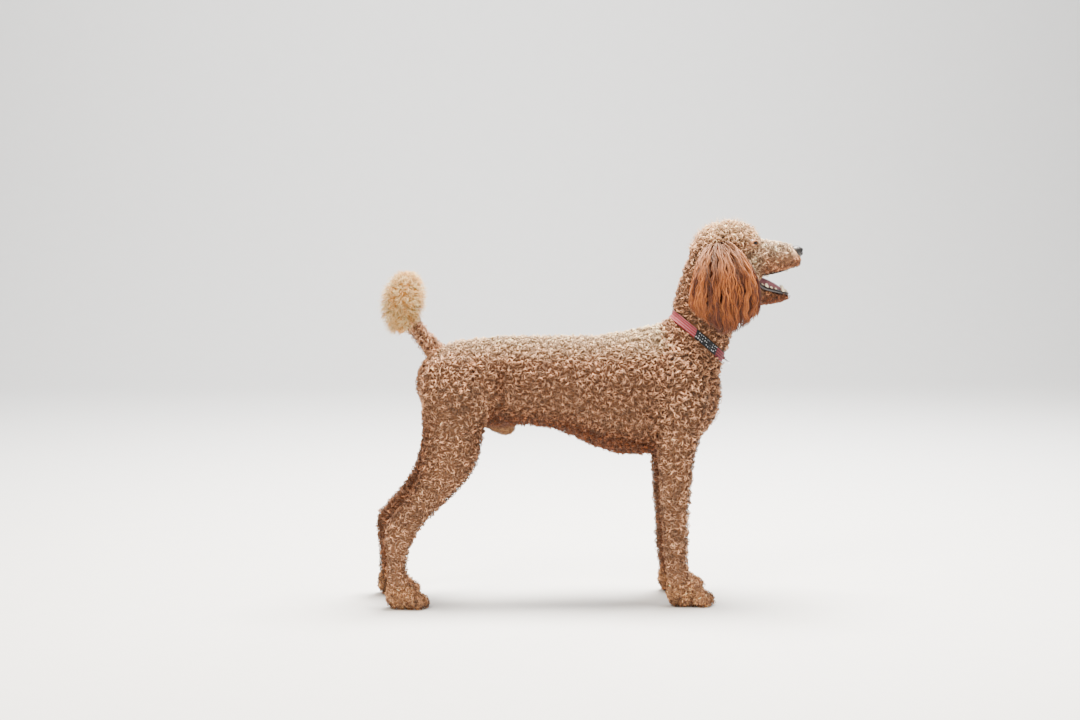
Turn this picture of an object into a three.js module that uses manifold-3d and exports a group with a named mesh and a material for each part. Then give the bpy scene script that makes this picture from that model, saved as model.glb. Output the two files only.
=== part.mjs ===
// A standard poodle in a short curly clip, life size, standing square with its head up and its mouth open.
// Millimetres: +X towards the nose, +Y towards the dog's left, +Z up. The floor is z = 0, and the origin
// is on it under the middle of the dog. Every form is a loft through sections that are read from the side
// view: a section gives two points of the outline, the half-width there, and how far to the left its
// middle sits.
import * as THREE from "three";
import { mergeVertices } from "three/addons/utils/BufferGeometryUtils.js";
import Module from "manifold-3d";

const wasm = await Module();
wasm.setup();

// Sizes that drive the rest
const GAP = 0.3; // between two nodes that touch
const FRONT_STANCE = 84; // middle of a front foot from the centre line
const HIND_STANCE = 80; // middle of a hind foot from the centre line
const LEFT_HIND_BACK = 22; // the left hind foot stands this much further back
const STIFLE_HEIGHT = 430;
const HOCK_HEIGHT = 200;
const EYE_RADIUS = 10.5;
const LID_THICKNESS = 2.2;
const COLLAR_WIDTH = 21;
const COLLAR_THICKNESS = 3.2;
const COLLAR_CLEAR = 0.8; // between the strap and the close coat under it
const COLLAR_AT = 2; // which section of the neck it lies on
const RING_RADIUS = 9;
const RING_THICKNESS = 1.6;
const CURL_RISE = 8; // how far the curls of the body stand out of the close coat under them
const TOPKNOT_RISE = 4;
const ROW_SPACING = 0.87; // rows of curls sit this share of their pitch apart
const ROW_WANDER = 0.16; // how far a curl strays from its even place, as a share of the pitch
const EAR_GAP = 0.4; // between an ear and the head beside it
const EAR_HAIR = 7; // hair between the leather of an ear and its outline
const EAR_CUP = { at: [292, 786], aside: 50, size: [26, 7, 22] }; // the hollow inside the root of an ear
const LOCK_TAPER = [0.7, 1, 0.85, 0.55, 0.12]; // width of a lock from its root to its tip
const LOCK_WAVE = 0.16; // how far a lock swings aside, as a share of its width
const LOCK_SINK = 2; // how deep the root of a lock sits in the leather
const APEX_UP = Math.atan(2 / (1 + Math.sqrt(5))); // turns a twenty-sided ball so that a corner is on top
const FAR = 2000; // side of a block that stands for half of space
const RING_SAMPLES = 32; // points a form's girth is measured over
const AXIS_SAMPLES = 24; // points a form's length is measured over
const NEARBY = 0.01; // step along a form that gives its direction

// How finely each kind of form is drawn: points round it, and rings between two of its sections
const BODY_MESH = { sides: 14, perSpan: 1 };
const LIMB_MESH = { sides: 8, perSpan: 1 };
const SMALL_MESH = { sides: 10, perSpan: 1 };
const JAW_MESH = { sides: 12, perSpan: 1 };
const SKULL_MESH = { sides: 16, perSpan: 2, power: 2.2 };
const NOSE_MESH = { sides: 14, perSpan: 1, power: 2.4 };

// Eyes: the middle of each ball, and the half width and height of the gap between its lids
const EYE_AT = [362, 811];
const EYE_ASIDE = 35;
const LID_OPENING = [8.2, 5.2];
const LID_REACH = 30; // how far the gap between the lids is cut outwards
const GAZE = [0.7, 0.7, 0.1]; // ahead, aside and up

// Toes: how far each sits from the middle of the paw, and how fast they fall back from the middle ones
const TOES_ASIDE = [-23, -8.5, 8.5, 23];
const TOE_ARC = 0.026;
const TOE = { size: [18, 11, 14.5], behindTip: 10, height: 13 };
const CLAW = { aheadOfTip: 2, height: 12, length: 11, drop: 8, radius: 4 };

// Nostrils, and the slit between them
const NOSTRIL = { size: [8, 3.4, 4.2], at: [482, 791.5], aside: 7.5 };
const NOSE_SLIT = { size: [8, 1.4, 8], at: [482, 783] };

// The webbing loop at the throat that the ring hangs in
const KEEPER = { size: [7, 9, 9], stand: 4 };

const X = new THREE.Vector3(1, 0, 0);
const Y = new THREE.Vector3(0, 1, 0);
const Z = new THREE.Vector3(0, 0, 1);
const SIDES = [["right", -1], ["left", 1]];
const draw = (low, high) => low + (high - low) * THREE.MathUtils.seededRandom();
THREE.MathUtils.seededRandom(7);
const at = (x, z, y = 0) => new THREE.Vector3(x, y, z);
const count = (length, make) => Array.from({ length }, (_, i) => make(i));
const section = (low, high, half, y = 0) => ({ low, high, half, y });

// The torso, from the point of the rump to the forechest
const TORSO = [
  section([-386, 472], [-386, 524], 30),
  section([-364, 432], [-366, 556], 60),
  section([-322, 404], [-328, 584], 80),
  section([-262, 395], [-271, 597], 86),
  section([-198, 399], [-204, 603], 82),
  section([-130, 398], [-136, 605], 86),
  section([-64, 385], [-68, 604], 94),
  section([4, 353], [-1, 604], 102),
  section([64, 333], [66, 612], 106),
  section([125, 331], [124, 624], 103),
  section([186, 340], [176, 628], 92),
  section([238, 366], [227, 600], 76),
  section([272, 398], [266, 558], 56),
  section([287, 448], [288, 512], 30),
];

// The neck, from inside the shoulders up into the head
const NECK = [
  section([238, 404], [146, 616], 82),
  section([276, 474], [164, 636], 72),
  section([304, 550], [183, 652], 62),
  section([320, 592], [188, 684], 59),
  section([331, 634], [199, 723], 57),
  section([343, 668], [212, 762], 55),
  section([352, 700], [230, 793], 50),
];

// The skull with its topknot, and the muzzle down to the upper lip
const SKULL = [
  section([237, 722], [232, 802], 36),
  section([252, 692], [248, 834], 53),
  section([276, 682], [275, 855], 60),
  section([312, 682], [311, 863], 61),
  section([348, 692], [343, 857], 56),
  section([372, 712], [366, 842], 46),
  section([390, 734], [385, 820], 34),
  section([412, 737], [412, 814], 28),
  section([440, 743], [439, 810], 25),
  section([461, 752], [461, 802], 21.5),
  section([473, 761], [472, 796], 16),
];

// The lower jaw, from the cheek to the chin
const JAW = [
  section([330, 668], [322, 742], 38),
  section([364, 667], [361, 734], 31),
  section([392, 672], [390, 722], 23.5),
  section([415, 674], [413, 712], 20),
  section([435, 679], [433, 705], 17),
  section([447, 686], [448, 700], 11),
];

// The tail below its pompon, and the pompon
const TAIL = [
  section([-336, 528], [-304, 546], 19),
  section([-362, 556], [-334, 579], 18.5),
  section([-383, 580], [-356, 602], 17),
  section([-401, 605], [-376, 624], 16),
  section([-419, 632], [-390, 648], 15),
  section([-432, 668], [-402, 676], 13),
];
const POMPON = [
  section([-446, 604], [-404, 612], 22),
  section([-468, 636], [-380, 644], 42),
  section([-474, 673], [-370, 678], 50),
  section([-468, 708], [-368, 709], 48),
  section([-448, 736], [-380, 736], 36),
  section([-426, 750], [-398, 750], 14),
];

// A front leg and a hind leg of the right side, from inside the body down to the pastern
const FRONT_LEG = [
  section([126, 560], [236, 560], 34, -52),
  section([127, 487], [262, 488], 42, -60),
  section([136, 420], [256, 418], 42, -67),
  section([139, 380], [246, 380], 38, -73),
  section([142, 340], [233, 340], 35, -77),
  section([146, 290], [227, 290], 32, -80),
  section([150, 230], [220, 230], 30, -82),
  section([154, 170], [218, 170], 28.5, -83),
  section([158, 115], [216, 115], 28, -FRONT_STANCE),
  section([165, 70], [219, 74], 28, -FRONT_STANCE),
  section([174, 30], [226, 44], 27, -FRONT_STANCE),
];
const HIND_LEG = [
  section([-362, 548], [-250, 560], 30, -48),
  section([-385, 500], [-226, 486], 45, -52),
  section([-384, 444], [-231, 424], 48, -55),
  section([-382, 389], [-241, 379], 46, -59),
  section([-383, 344], [-249, 338], 42, -64),
  section([-390, 299], [-268, 298], 37, -68),
  section([-405, 266], [-297, 265], 32, -71),
  section([-425, 235], [-329, 234], 29, -74),
  section([-448, 211], [-358, 205], 27, -76),
  section([-465, 188], [-381, 178], 26, -78),
  section([-467, 160], [-397, 150], 25.5, -HIND_STANCE),
  section([-463, 120], [-410, 118], 25, -HIND_STANCE),
  section([-461, 75], [-411, 77], 25, -HIND_STANCE),
  section([-457, 36], [-404, 50], 26, -HIND_STANCE),
];

// The paws of the right side, from heel to toes
const FRONT_PAW = [
  section([171, 16], [170, 44], 22, -FRONT_STANCE),
  section([184, -2], [181, 62], 29, -FRONT_STANCE),
  section([210, -6], [207, 68], 32, -FRONT_STANCE),
  section([236, -6], [232, 53], 33, -FRONT_STANCE),
  section([257, -5], [254, 37], 31, -FRONT_STANCE),
  section([270, 1], [269, 26], 24, -FRONT_STANCE),
];
const HIND_PAW = [
  section([-458, 14], [-459, 40], 20, -HIND_STANCE),
  section([-444, -2], [-448, 58], 27, -HIND_STANCE),
  section([-420, -6], [-423, 62], 30, -HIND_STANCE),
  section([-398, -6], [-401, 49], 31, -HIND_STANCE),
  section([-382, -4], [-383, 35], 28, -HIND_STANCE),
  section([-371, 2], [-371, 24], 21, -HIND_STANCE),
];

// The right ear with its hair, from its root down to the tips
const EAR = [
  section([262, 800], [300, 812], 9, -54),
  section([244, 774], [334, 784], 14, -65),
  section([226, 738], [364, 742], 18, -73),
  section([217, 703], [374, 706], 20, -76),
  section([223, 674], [371, 676], 19, -76),
  section([241, 646], [359, 644], 17, -75),
  section([264, 622], [335, 625], 13, -74),
  section([284, 609], [315, 613], 8, -73),
];

// The sheath under the loin
const SHEATH = [
  section([-238, 398], [-236, 436], 17),
  section([-212, 383], [-210, 432], 21),
  section([-190, 378], [-188, 420], 18),
  section([-173, 386], [-172, 405], 10),
];

// The tongue, lying in the lower jaw
const TONGUE = [
  section([356, 714], [355, 736], 14),
  section([380, 710], [382, 735], 15.5),
  section([405, 704], [408, 726], 14.5),
  section([422, 700], [425, 716], 12),
  section([433, 699], [434, 709], 6),
];

// The hollow under the palate, the one over the lower jaw, and the nose leather
const PALATE = [
  section([348, 708], [348, 736], 15),
  section([372, 704], [372, 740], 20),
  section([400, 704], [400, 745], 20),
  section([430, 712], [430, 750], 17),
  section([452, 732], [452, 757], 11),
];
const MOUTH_FLOOR = [
  section([340, 718], [336, 760], 22),
  section([366, 712], [362, 756], 24),
  section([392, 711], [390, 752], 19),
  section([415, 702], [413, 742], 16),
  section([433, 696], [431, 732], 12),
  section([442, 695], [441, 720], 7),
];
const NOSE = [
  section([459, 782], [457, 801], 12),
  section([468, 779], [465, 804], 15),
  section([476, 781], [473, 803], 14.5),
  section([482, 787], [480, 798], 10),
];

// Teeth of one side: place from the front, height of the root, distance aside, length and radius
const UPPER_TEETH = [
  [397, 745, 24, 11, 5],
  [411, 747, 23, 11, 4.5],
  [449, 752, 13, 15, 4],
  [458, 755, 5, 10, 3],
];
const LOWER_TEETH = [
  [395, 706, 19.5, 18, 5],
  [409, 700, 17.5, 17, 4.5],
  [437, 691, 11, 24, 3.8],
  [444, 688, 4, 16, 3],
];

// Curls of each form: how wide and long they are, how high they rise, and the stretch of the form they cover
const CURLS = {
  torso: { wide: 98, long: 98, from: 0.05, to: 0.95 },
  neck: { wide: 66, long: 72, from: 0.6, to: 0.88 },
  frontLeg: { wide: 48, long: 92, from: 0.36, to: 0.84 },
  hindLeg: { wide: 54, long: 80, from: 0.28, to: 0.86 },
  skull: { wide: 52, long: 50, from: 0.07, to: 0.4, above: 775 },
  pompon: { wide: 56, long: 52, from: 0.16, to: 0.86, rise: 11 },
};

// Locks of an ear, in tiers from its root down
const LOCK_TIERS = [0.2, 0.56];
const LOCKS_IN_TIER = 3;
const LOCK = { length: 104, width: 46, thick: 11 };

// Forms

const mirrored = (sections) => sections.map((s) => ({ ...s, y: -s.y }));

// The left hind leg is the right one moved back from the stifle down.
function steppedBack(sections) {
  return sections.map((s) => {
    const share = THREE.MathUtils.smoothstep(STIFLE_HEIGHT - s.low[1], 0, STIFLE_HEIGHT - HOCK_HEIGHT);
    const back = LEFT_HIND_BACK * share;
    return { ...s, low: [s.low[0] - back, s.low[1]], high: [s.high[0] - back, s.high[1]] };
  });
}

// The skin of a form as a function of the share of its length and the angle round it.
function skinOf(sections, { grow = 0, power = 2 } = {}) {
  const through = (points) => new THREE.CatmullRomCurve3(points);
  const low = through(sections.map((s) => at(...s.low)));
  const high = through(sections.map((s) => at(...s.high)));
  const width = through(sections.map((s) => new THREE.Vector3(s.half, s.y, 0)));
  return (share, angle) => {
    const [a, b, w] = [low.getPoint(share), high.getPoint(share), width.getPoint(share)];
    const depth = b.clone().sub(a).multiplyScalar(0.5);
    depth.setLength(Math.max(depth.length() + grow, 1));
    const [c, s] = [Math.cos(angle), Math.sin(angle)];
    const full = (Math.abs(c) ** power + Math.abs(s) ** power) ** (-1 / power);
    const middle = a.add(b).multiplyScalar(0.5).add(new THREE.Vector3(0, w.y, 0));
    return middle.addScaledVector(depth, c * full).setY(w.y + Math.max(w.x + grow, 1) * s * full);
  };
}

// Places spread evenly over the skin of a form, each with the way out of it and the way along it.
function placesOn(sections, { wide, long, from = 0, to = 1, grow = 0, power = 2, above = 0 }) {
  const skin = skinOf(sections, { grow, power });
  const turns = count(RING_SAMPLES + 1, (j) => (2 * Math.PI * j) / RING_SAMPLES);
  const middle = (share) => skin(share, 0).add(skin(share, Math.PI)).multiplyScalar(0.5);
  const steps = count(AXIS_SAMPLES + 1, (i) => middle(from + ((to - from) * i) / AXIS_SAMPLES));
  const reach = steps.slice(1).reduce((sum, point, i) => sum + point.distanceTo(steps[i]), 0);
  const rows = Math.max(Math.round(reach / (long * ROW_SPACING)), 1);
  const places = [];
  for (let row = 0; row <= rows; row++) {
    const share = from + ((to - from) * row) / rows;
    const ring = new THREE.CatmullRomCurve3(turns.map((turn) => skin(share, turn)));
    const inRow = Math.max(Math.round(ring.getLength() / wide), 3);
    for (let k = 0; k < inRow; k++) {
      const around = ((k + (row % 2) / 2 + draw(-ROW_WANDER, ROW_WANDER) + 1) / inRow) % 1;
      const point = ring.getPointAt(around);
      const angle = 2 * Math.PI * ring.getUtoTmapping(around);
      const ahead = skin(Math.min(share + NEARBY, 1), angle);
      const along = ahead.sub(skin(Math.max(share - NEARBY, 0), angle)).normalize();
      const out = ring.getTangentAt(around).cross(along).normalize();
      if (out.dot(point.clone().sub(middle(share))) < 0) out.negate();
      if (point.z > above) places.push({ point, out, along });
    }
  }
  return places;
}

// A closed body between rings of points, each ring an array of the same length. A hoop ends where it starts.
function closedRings(rings, hoop = false) {
  const sides = rings[0].length;
  const middle = (ring) => ring.reduce((sum, p) => sum.add(p), new THREE.Vector3()).divideScalar(sides);
  const points = [...rings.flat(), ...(hoop ? [] : [middle(rings[0]), middle(rings.at(-1))])];
  const [first, last] = [rings.length * sides, rings.length * sides + 1];
  const faces = [];
  for (let j = 0; j < sides; j++) {
    const k = (j + 1) % sides;
    const end = (rings.length - 1) * sides;
    if (!hoop) faces.push(first, k, j, last, end + j, end + k);
    for (let i = 0; i + 1 < rings.length; i++) {
      const [a, b, c, d] = [i * sides + j, i * sides + k, (i + 1) * sides + j, (i + 1) * sides + k];
      faces.push(a, b, d, a, d, c);
    }
  }
  const geometry = new THREE.BufferGeometry().setFromPoints(points);
  geometry.setIndex(faces);
  return geometry;
}

function loft(sections, { sides = 20, perSpan = 2, ...shape } = {}) {
  const skin = skinOf(sections, shape);
  const spans = (sections.length - 1) * perSpan;
  const ring = (share) => count(sides, (j) => skin(share, (2 * Math.PI * j) / sides));
  return solid(closedRings(count(spans + 1, (i) => ring(i / spans))));
}

// Solids

function solid(geometry) {
  const bare = geometry.clone();
  bare.deleteAttribute("normal");
  bare.deleteAttribute("uv");
  const merged = mergeVertices(bare, 1e-4);
  const triVerts = new Uint32Array(merged.index.array);
  const vertProperties = merged.attributes.position.array;
  const made = () => new wasm.Manifold(new wasm.Mesh({ numProp: 3, vertProperties, triVerts }));
  const body = made();
  if (body.volume() >= 0) return body;
  for (let i = 0; i < triVerts.length; i += 3) {
    [triVerts[i + 1], triVerts[i + 2]] = [triVerts[i + 2], triVerts[i + 1]];
  }
  return made();
}

const unite = (bodies) => bodies.reduce((sum, body) => sum.add(body));
const largest = (body) =>
  body.decompose().reduce((best, next) => (next.volume() > best.volume() ? next : best));

// Half of space, on the side of a plane that its normal points to, grown by moving the plane back.
function halfSpace([point, normal], grow = 0) {
  const box = new THREE.BoxGeometry(FAR, FAR, FAR).translate(0, 0, FAR / 2 - grow);
  const turn = new THREE.Quaternion().setFromUnitVectors(Z, normal.clone().normalize());
  return solid(box.applyQuaternion(turn).translate(...point));
}

// A region beyond some planes, as a function of how much it is grown.
const beyond =
  (...planes) =>
  (grow) =>
    planes.map((plane) => halfSpace(plane, grow)).reduce((a, b) => a.intersect(b));

// Parts a solid in two along a region's edge, with the gap between the pieces.
function partBy(whole, region) {
  return [largest(whole.intersect(region(-GAP / 2))), largest(whole.subtract(region(GAP / 2)))];
}

// What is left of a body beside a neighbour, with a gap on the sides that are named.
function clearOf(body, neighbour, ...ways) {
  const moves = ways.map((way) => neighbour.translate(way.map((share) => share * GAP)));
  return largest(moves.reduce((left, moved) => left.subtract(moved), body.subtract(neighbour)));
}

function ball([rx, ry, rz], centre, sides = 12) {
  const shape = new THREE.SphereGeometry(1, sides, Math.round(sides / 2)).scale(rx, ry, rz);
  return solid(shape.translate(...centre));
}

// A cone from its root to its tip.
function spike(root, tip, radius, sides = 6) {
  const along = tip.clone().sub(root);
  const cone = new THREE.ConeGeometry(radius, along.length(), sides).translate(0, along.length() / 2, 0);
  const turn = new THREE.Quaternion().setFromUnitVectors(Y, along.normalize());
  return solid(cone.applyQuaternion(turn).translate(...root));
}

// One rounded curl of the coat, sunk into the skin it grows on.
function clump({ point, out, along }, { wide, long }, rise) {
  const high = rise * draw(1.9, 2.1);
  const size = [wide, long].map((length) => length * draw(0.46, 0.5));
  const dome = new THREE.IcosahedronGeometry(1, 0).rotateX(APEX_UP);
  dome.rotateZ(draw(0, Math.PI)).scale(...size, high);
  const across = along.clone().cross(out).normalize();
  const stand = new THREE.Matrix4().makeBasis(across, out.clone().cross(across), out);
  const root = point.clone().addScaledVector(out, rise - high);
  return solid(dome.applyMatrix4(stand).translate(...root));
}

// A form's close coat with its curls joined on.
function curly(sections, shape, curls) {
  const rise = curls.rise ?? CURL_RISE;
  const core = { ...shape, grow: -rise };
  const places = placesOn(sections, { ...curls, ...core });
  return [loft(sections, core), ...places.map((place) => clump(place, curls, rise))];
}

// A flat, tapered lock of long hair that hangs from its root and waves.
function lock(root, out, down, { length, width, thick }) {
  const across = out.clone().cross(down).normalize();
  const wave = draw(-1, 1) * width * LOCK_WAVE;
  const rings = LOCK_TAPER.map((size, i) => {
    const share = i / (LOCK_TAPER.length - 1);
    const middle = root.clone().addScaledVector(down, length * share);
    middle.addScaledVector(out, thick * 0.5 * Math.sin(Math.PI * share));
    middle.addScaledVector(across, wave * Math.sin(2 * Math.PI * share));
    const [w, t] = [(width / 2) * size, (thick / 2) * Math.sqrt(size)];
    const corner = (a, b) => middle.clone().addScaledVector(across, a).addScaledVector(out, b);
    return [corner(w, -t), corner(0, t), corner(-w, -t)];
  });
  return solid(closedRings(rings));
}

// An ear: thin leather, hollowed on its inside, under tiers of locks
function ear(way) {
  const leather = loft(EAR, { ...SMALL_MESH, grow: -EAR_HAIR });
  const cup = ball(EAR_CUP.size, at(...EAR_CUP.at, -EAR_CUP.aside), 6);
  const skin = skinOf(EAR, { grow: -EAR_HAIR });
  const locks = LOCK_TIERS.flatMap((share, tier) =>
    count(LOCKS_IN_TIER, (k) => {
      const place = (k + 0.5 + (tier % 2 ? 0.2 : -0.2)) / LOCKS_IN_TIER;
      const angle = Math.PI * (1 + place);
      const root = skin(share, angle);
      const out = root.clone().sub(skin(share, angle + Math.PI)).setZ(0).normalize().lerp(at(0, 0, -1), 0.6);
      const down = skin(Math.min(share + 0.3, 1), angle).sub(root).normalize();
      return lock(root.addScaledVector(out, -LOCK_SINK), out.normalize(), down, LOCK);
    }),
  );
  const whole = unite([leather.subtract(cup), ...locks]);
  return way < 0 ? whole : whole.mirror([0, 1, 0]);
}

// Paws: a foot with four toes and their claws, flat where it stands
function paw(sections, stance, stepBack) {
  const toeTip = sections.at(-1).low[0];
  const shifted = sections.map((s) => ({ ...s, y: -stance }));
  const pieces = [loft(shifted, LIMB_MESH)];
  for (const aside of TOES_ASIDE) {
    const tip = toeTip - TOE_ARC * aside ** 2;
    const toe = at(tip - TOE.behindTip, TOE.height, -stance + aside);
    const root = at(tip + CLAW.aheadOfTip, CLAW.height, -stance + aside);
    const claw = spike(root, root.clone().add(at(CLAW.length, -CLAW.drop)), CLAW.radius, 4);
    pieces.push(ball(TOE.size, toe, 6), claw);
  }
  const foot = unite(pieces).translate([-stepBack, 0, 0]);
  return foot.intersect(halfSpace([at(0, 0), Z]));
}

// Head

const eyeMiddle = (side) => at(...EYE_AT, side * EYE_ASIDE);
const eye = (side, grow = 0) => ball(Array(3).fill(EYE_RADIUS + grow), eyeMiddle(side), 10);

// The gap between the lids, from the middle of the eyeball out along its gaze.
function lidOpening(side) {
  const [ahead, aside, up] = GAZE;
  const turn = new THREE.Quaternion().setFromUnitVectors(X, at(ahead, up, side * aside).normalize());
  const almond = new THREE.CylinderGeometry(1, 1, LID_REACH, 12).rotateZ(Math.PI / 2);
  almond.scale(1, ...LID_OPENING).translate(LID_REACH / 2, 0, 0);
  return solid(almond.applyQuaternion(turn).translate(...eyeMiddle(side)));
}

const nose = (grow = 0) => loft(NOSE, { ...NOSE_MESH, grow });

function nostrils() {
  const holes = [-1, 1].map((side) => ball(NOSTRIL.size, at(...NOSTRIL.at, side * NOSTRIL.aside), 6));
  const slit = new THREE.BoxGeometry(...NOSE_SLIT.size).translate(...at(...NOSE_SLIT.at));
  return unite([...holes, solid(slit)]);
}

// Teeth on both sides of a jaw, each with its root sunk in the jaw's edge.
function teeth(places, way) {
  return places.flatMap(([x, z, y, height, radius]) =>
    [-1, 1].map((side) => spike(at(x, z, side * y), at(x + 1, z + way * height, side * y), radius, 4)),
  );
}

// Collar

const throat = at(...NECK[COLLAR_AT].low);
const nape = at(...NECK[COLLAR_AT].high);
const collarDown = throat.clone().sub(nape).normalize();
const collarMiddle = throat.clone().add(nape).multiplyScalar(0.5);
const neckDeep = throat.distanceTo(nape) / 2 - CURL_RISE;

// The strap lies on the rings of the neck's close coat, from one edge of the webbing to the other.
function strap() {
  const spans = NECK.length - 1;
  const edge = (grow, way, turn) => {
    const skin = skinOf(NECK, { grow: grow - CURL_RISE });
    const [here, next] = [COLLAR_AT, COLLAR_AT + way].map((i) => skin(i / spans, turn));
    return here.lerp(next, COLLAR_WIDTH / 2 / here.distanceTo(next));
  };
  const [inside, outside] = [COLLAR_CLEAR, COLLAR_CLEAR + COLLAR_THICKNESS];
  const corners = [[inside, -1], [outside, -1], [outside, 1], [inside, 1]];
  const rings = count(BODY_MESH.sides, (j) => {
    const turn = (2 * Math.PI * j) / BODY_MESH.sides;
    return corners.map(([grow, way]) => edge(grow, way, turn));
  });
  return solid(closedRings([...rings, rings[0]], true));
}

// A shape at the throat, so far out from the strap, its own X axis along the way the collar hangs.
function atThroat(shape, out) {
  const from = collarMiddle.clone().addScaledVector(collarDown, neckDeep + COLLAR_THICKNESS + out);
  return solid(shape.rotateY(Math.atan2(-collarDown.z, collarDown.x)).translate(...from));
}

function collarRing(thickness) {
  const ring = new THREE.TorusGeometry(RING_RADIUS, thickness, 5, 12).rotateY(Math.PI);
  return atThroat(ring, RING_RADIUS + KEEPER.stand);
}

function collar() {
  const loop = atThroat(new THREE.BoxGeometry(...KEEPER.size), KEEPER.stand);
  return largest(strap().add(loop).subtract(collarRing(RING_THICKNESS + GAP)));
}

// The coat and flesh in one piece

const frontLegs = [-1, 1].map((side) => (side < 0 ? FRONT_LEG : mirrored(FRONT_LEG)));
const hindLegs = [-1, 1].map((side) => (side < 0 ? HIND_LEG : steppedBack(mirrored(HIND_LEG))));

const topknot = placesOn(SKULL, { ...CURLS.skull, grow: -TOPKNOT_RISE }).map((place) =>
  clump(place, CURLS.skull, 2 * TOPKNOT_RISE),
);
const skullWhole = unite([
  loft(SKULL, SKULL_MESH),
  loft(JAW.slice(0, 2), JAW_MESH),
  ...topknot,
  eye(-1, LID_THICKNESS),
  eye(1, LID_THICKNESS),
]);
const sockets = [-1, 1].flatMap((side) => [eye(side, GAP), lidOpening(side)]);
const hollows = unite([loft(PALATE, SMALL_MESH), nose(GAP), ...sockets]);
const skull = skullWhole.subtract(hollows).add(unite(teeth(UPPER_TEETH, -1)));

const flesh = unite([
  ...curly(TORSO, BODY_MESH, CURLS.torso),
  loft(SHEATH, SMALL_MESH),
  ...curly(NECK, BODY_MESH, CURLS.neck),
  skull,
  loft(TAIL, LIMB_MESH),
  ...curly(POMPON, LIMB_MESH, CURLS.pompon),
  ...frontLegs.flatMap((leg) => curly(leg, LIMB_MESH, CURLS.frontLeg)),
  ...hindLegs.flatMap((leg) => curly(leg, LIMB_MESH, CURLS.hindLeg)),
  paw(FRONT_PAW, FRONT_STANCE, 0),
  paw(FRONT_PAW, -FRONT_STANCE, 0),
  paw(HIND_PAW, HIND_STANCE, 0),
  paw(HIND_PAW, -HIND_STANCE, LEFT_HIND_BACK),
]);

// The flesh in its parts

const solids = {};
let uncut = flesh;
function cutOff(name, region) {
  [solids[name], uncut] = partBy(uncut, region);
}

cutOff("tail_pompon", beyond([at(-405, 612), at(-0.45, 0.89)]));
cutOff("tail", beyond([at(-356, 578), at(-0.68, 0.73)]));
cutOff("head", beyond([at(222, 775), at(0.67, 0.74)]));
cutOff("neck", beyond([at(165, 640), at(0.83, 0.556)]));
for (const [side, way] of SIDES) {
  const outward = (inner) => [at(0, 0, way * inner), new THREE.Vector3(0, way, 0)];
  const back = way > 0 ? LEFT_HIND_BACK : 0;
  const [front, rear] = [[at(124, 0), X], [at(-212, 0), at(-1, 0)]];
  cutOff(`front_paw_${side}`, beyond([at(195, 62), at(0.2, -0.98)], front, outward(0)));
  cutOff(`front_leg_${side}`, beyond([at(190, 412), at(0, -1)], front, outward(34)));
  cutOff(`hind_paw_${side}`, beyond([at(-430 - back, 62), at(0.2, -0.98)], rear, outward(0)));
  cutOff(`hind_pastern_${side}`, beyond([at(-425 - back, 178), at(-0.4, -0.92)], rear, outward(0)));
  cutOff(`hind_shank_${side}`, beyond([at(-320 - back / 3, 322), at(-0.35, -0.94)], rear, outward(0)));
  cutOff(`thigh_${side}`, beyond([at(-300, 480), at(0, -1)], rear, outward(8)));
}
solids.torso = uncut;

// The mouth's parts, and the ears

const jawWhole = loft(JAW, JAW_MESH).intersect(halfSpace([at(JAW[1].low[0] - 1, 0), X]));
const tongue = loft(TONGUE, LIMB_MESH);
const roundTongue = loft(TONGUE, { ...LIMB_MESH, grow: GAP });
const jawOpen = jawWhole.subtract(loft(MOUTH_FLOOR, SMALL_MESH).add(roundTongue));
const jaw = unite([jawOpen, ...teeth(LOWER_TEETH, 1)]).subtract(roundTongue);
solids.lower_jaw = clearOf(jaw, solids.head, [1, 0, 0], [1, 0, -1], [0, 0, -1]);
solids.tongue = clearOf(tongue, solids.head, [1, 0, 0], [1, 0, -1], [0, 0, -1]);
solids.nose = nose().subtract(nostrils());
for (const [side, way] of SIDES) {
  solids[`ear_${side}`] = largest(ear(way).subtract(flesh.translate([0, way * EAR_GAP, 0])));
  solids[`eye_${side}`] = eye(way);
}
solids.collar = collar();
solids.collar_ring = collarRing(RING_THICKNESS);

// Meshes with their finish

const FINISH = {
  coat: { color: 0xc08a5c, roughness: 0.95, metalness: 0 },
  ear: { color: 0xa8632f, roughness: 0.9, metalness: 0 },
  pompon: { color: 0xd2a073, roughness: 0.95, metalness: 0 },
  nose: { color: 0x1c1a1b, roughness: 0.4, metalness: 0 },
  eye: { color: 0x24130b, roughness: 0.08, metalness: 0 },
  mouth: { color: 0xb4707a, roughness: 0.45, metalness: 0 },
  webbing: { color: 0x202a4a, roughness: 0.8, metalness: 0 },
  metal: { color: 0xb8bcc2, roughness: 0.25, metalness: 1 },
};
const FINISH_OF = {
  ear_right: FINISH.ear,
  ear_left: FINISH.ear,
  eye_right: FINISH.eye,
  eye_left: FINISH.eye,
  tail_pompon: FINISH.pompon,
  nose: FINISH.nose,
  tongue: FINISH.mouth,
  collar: FINISH.webbing,
  collar_ring: FINISH.metal,
};

const dog = new THREE.Group();
for (const [name, body] of Object.entries(solids)) {
  const mesh = body.getMesh();
  const geometry = new THREE.BufferGeometry();
  geometry.setAttribute("position", new THREE.BufferAttribute(mesh.vertProperties, 3));
  geometry.setIndex(new THREE.BufferAttribute(mesh.triVerts, 1));
  geometry.computeVertexNormals();
  const skin = new THREE.Mesh(geometry, new THREE.MeshStandardMaterial(FINISH_OF[name] ?? FINISH.coat));
  skin.name = name;
  dog.add(skin);
}

export default dog;
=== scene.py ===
"""A standard poodle in a short curly clip, standing square, as a still, life-size model.

Run as a script it builds every piece. Its operators and panel are the ones an add-on would have.
Everything is in metres: +X towards the nose, +Y towards the dog's left, +Z up, the floor at z = 0.
"""

import math

import bpy
import numpy as np
from mathutils import Matrix, Vector, kdtree


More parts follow.
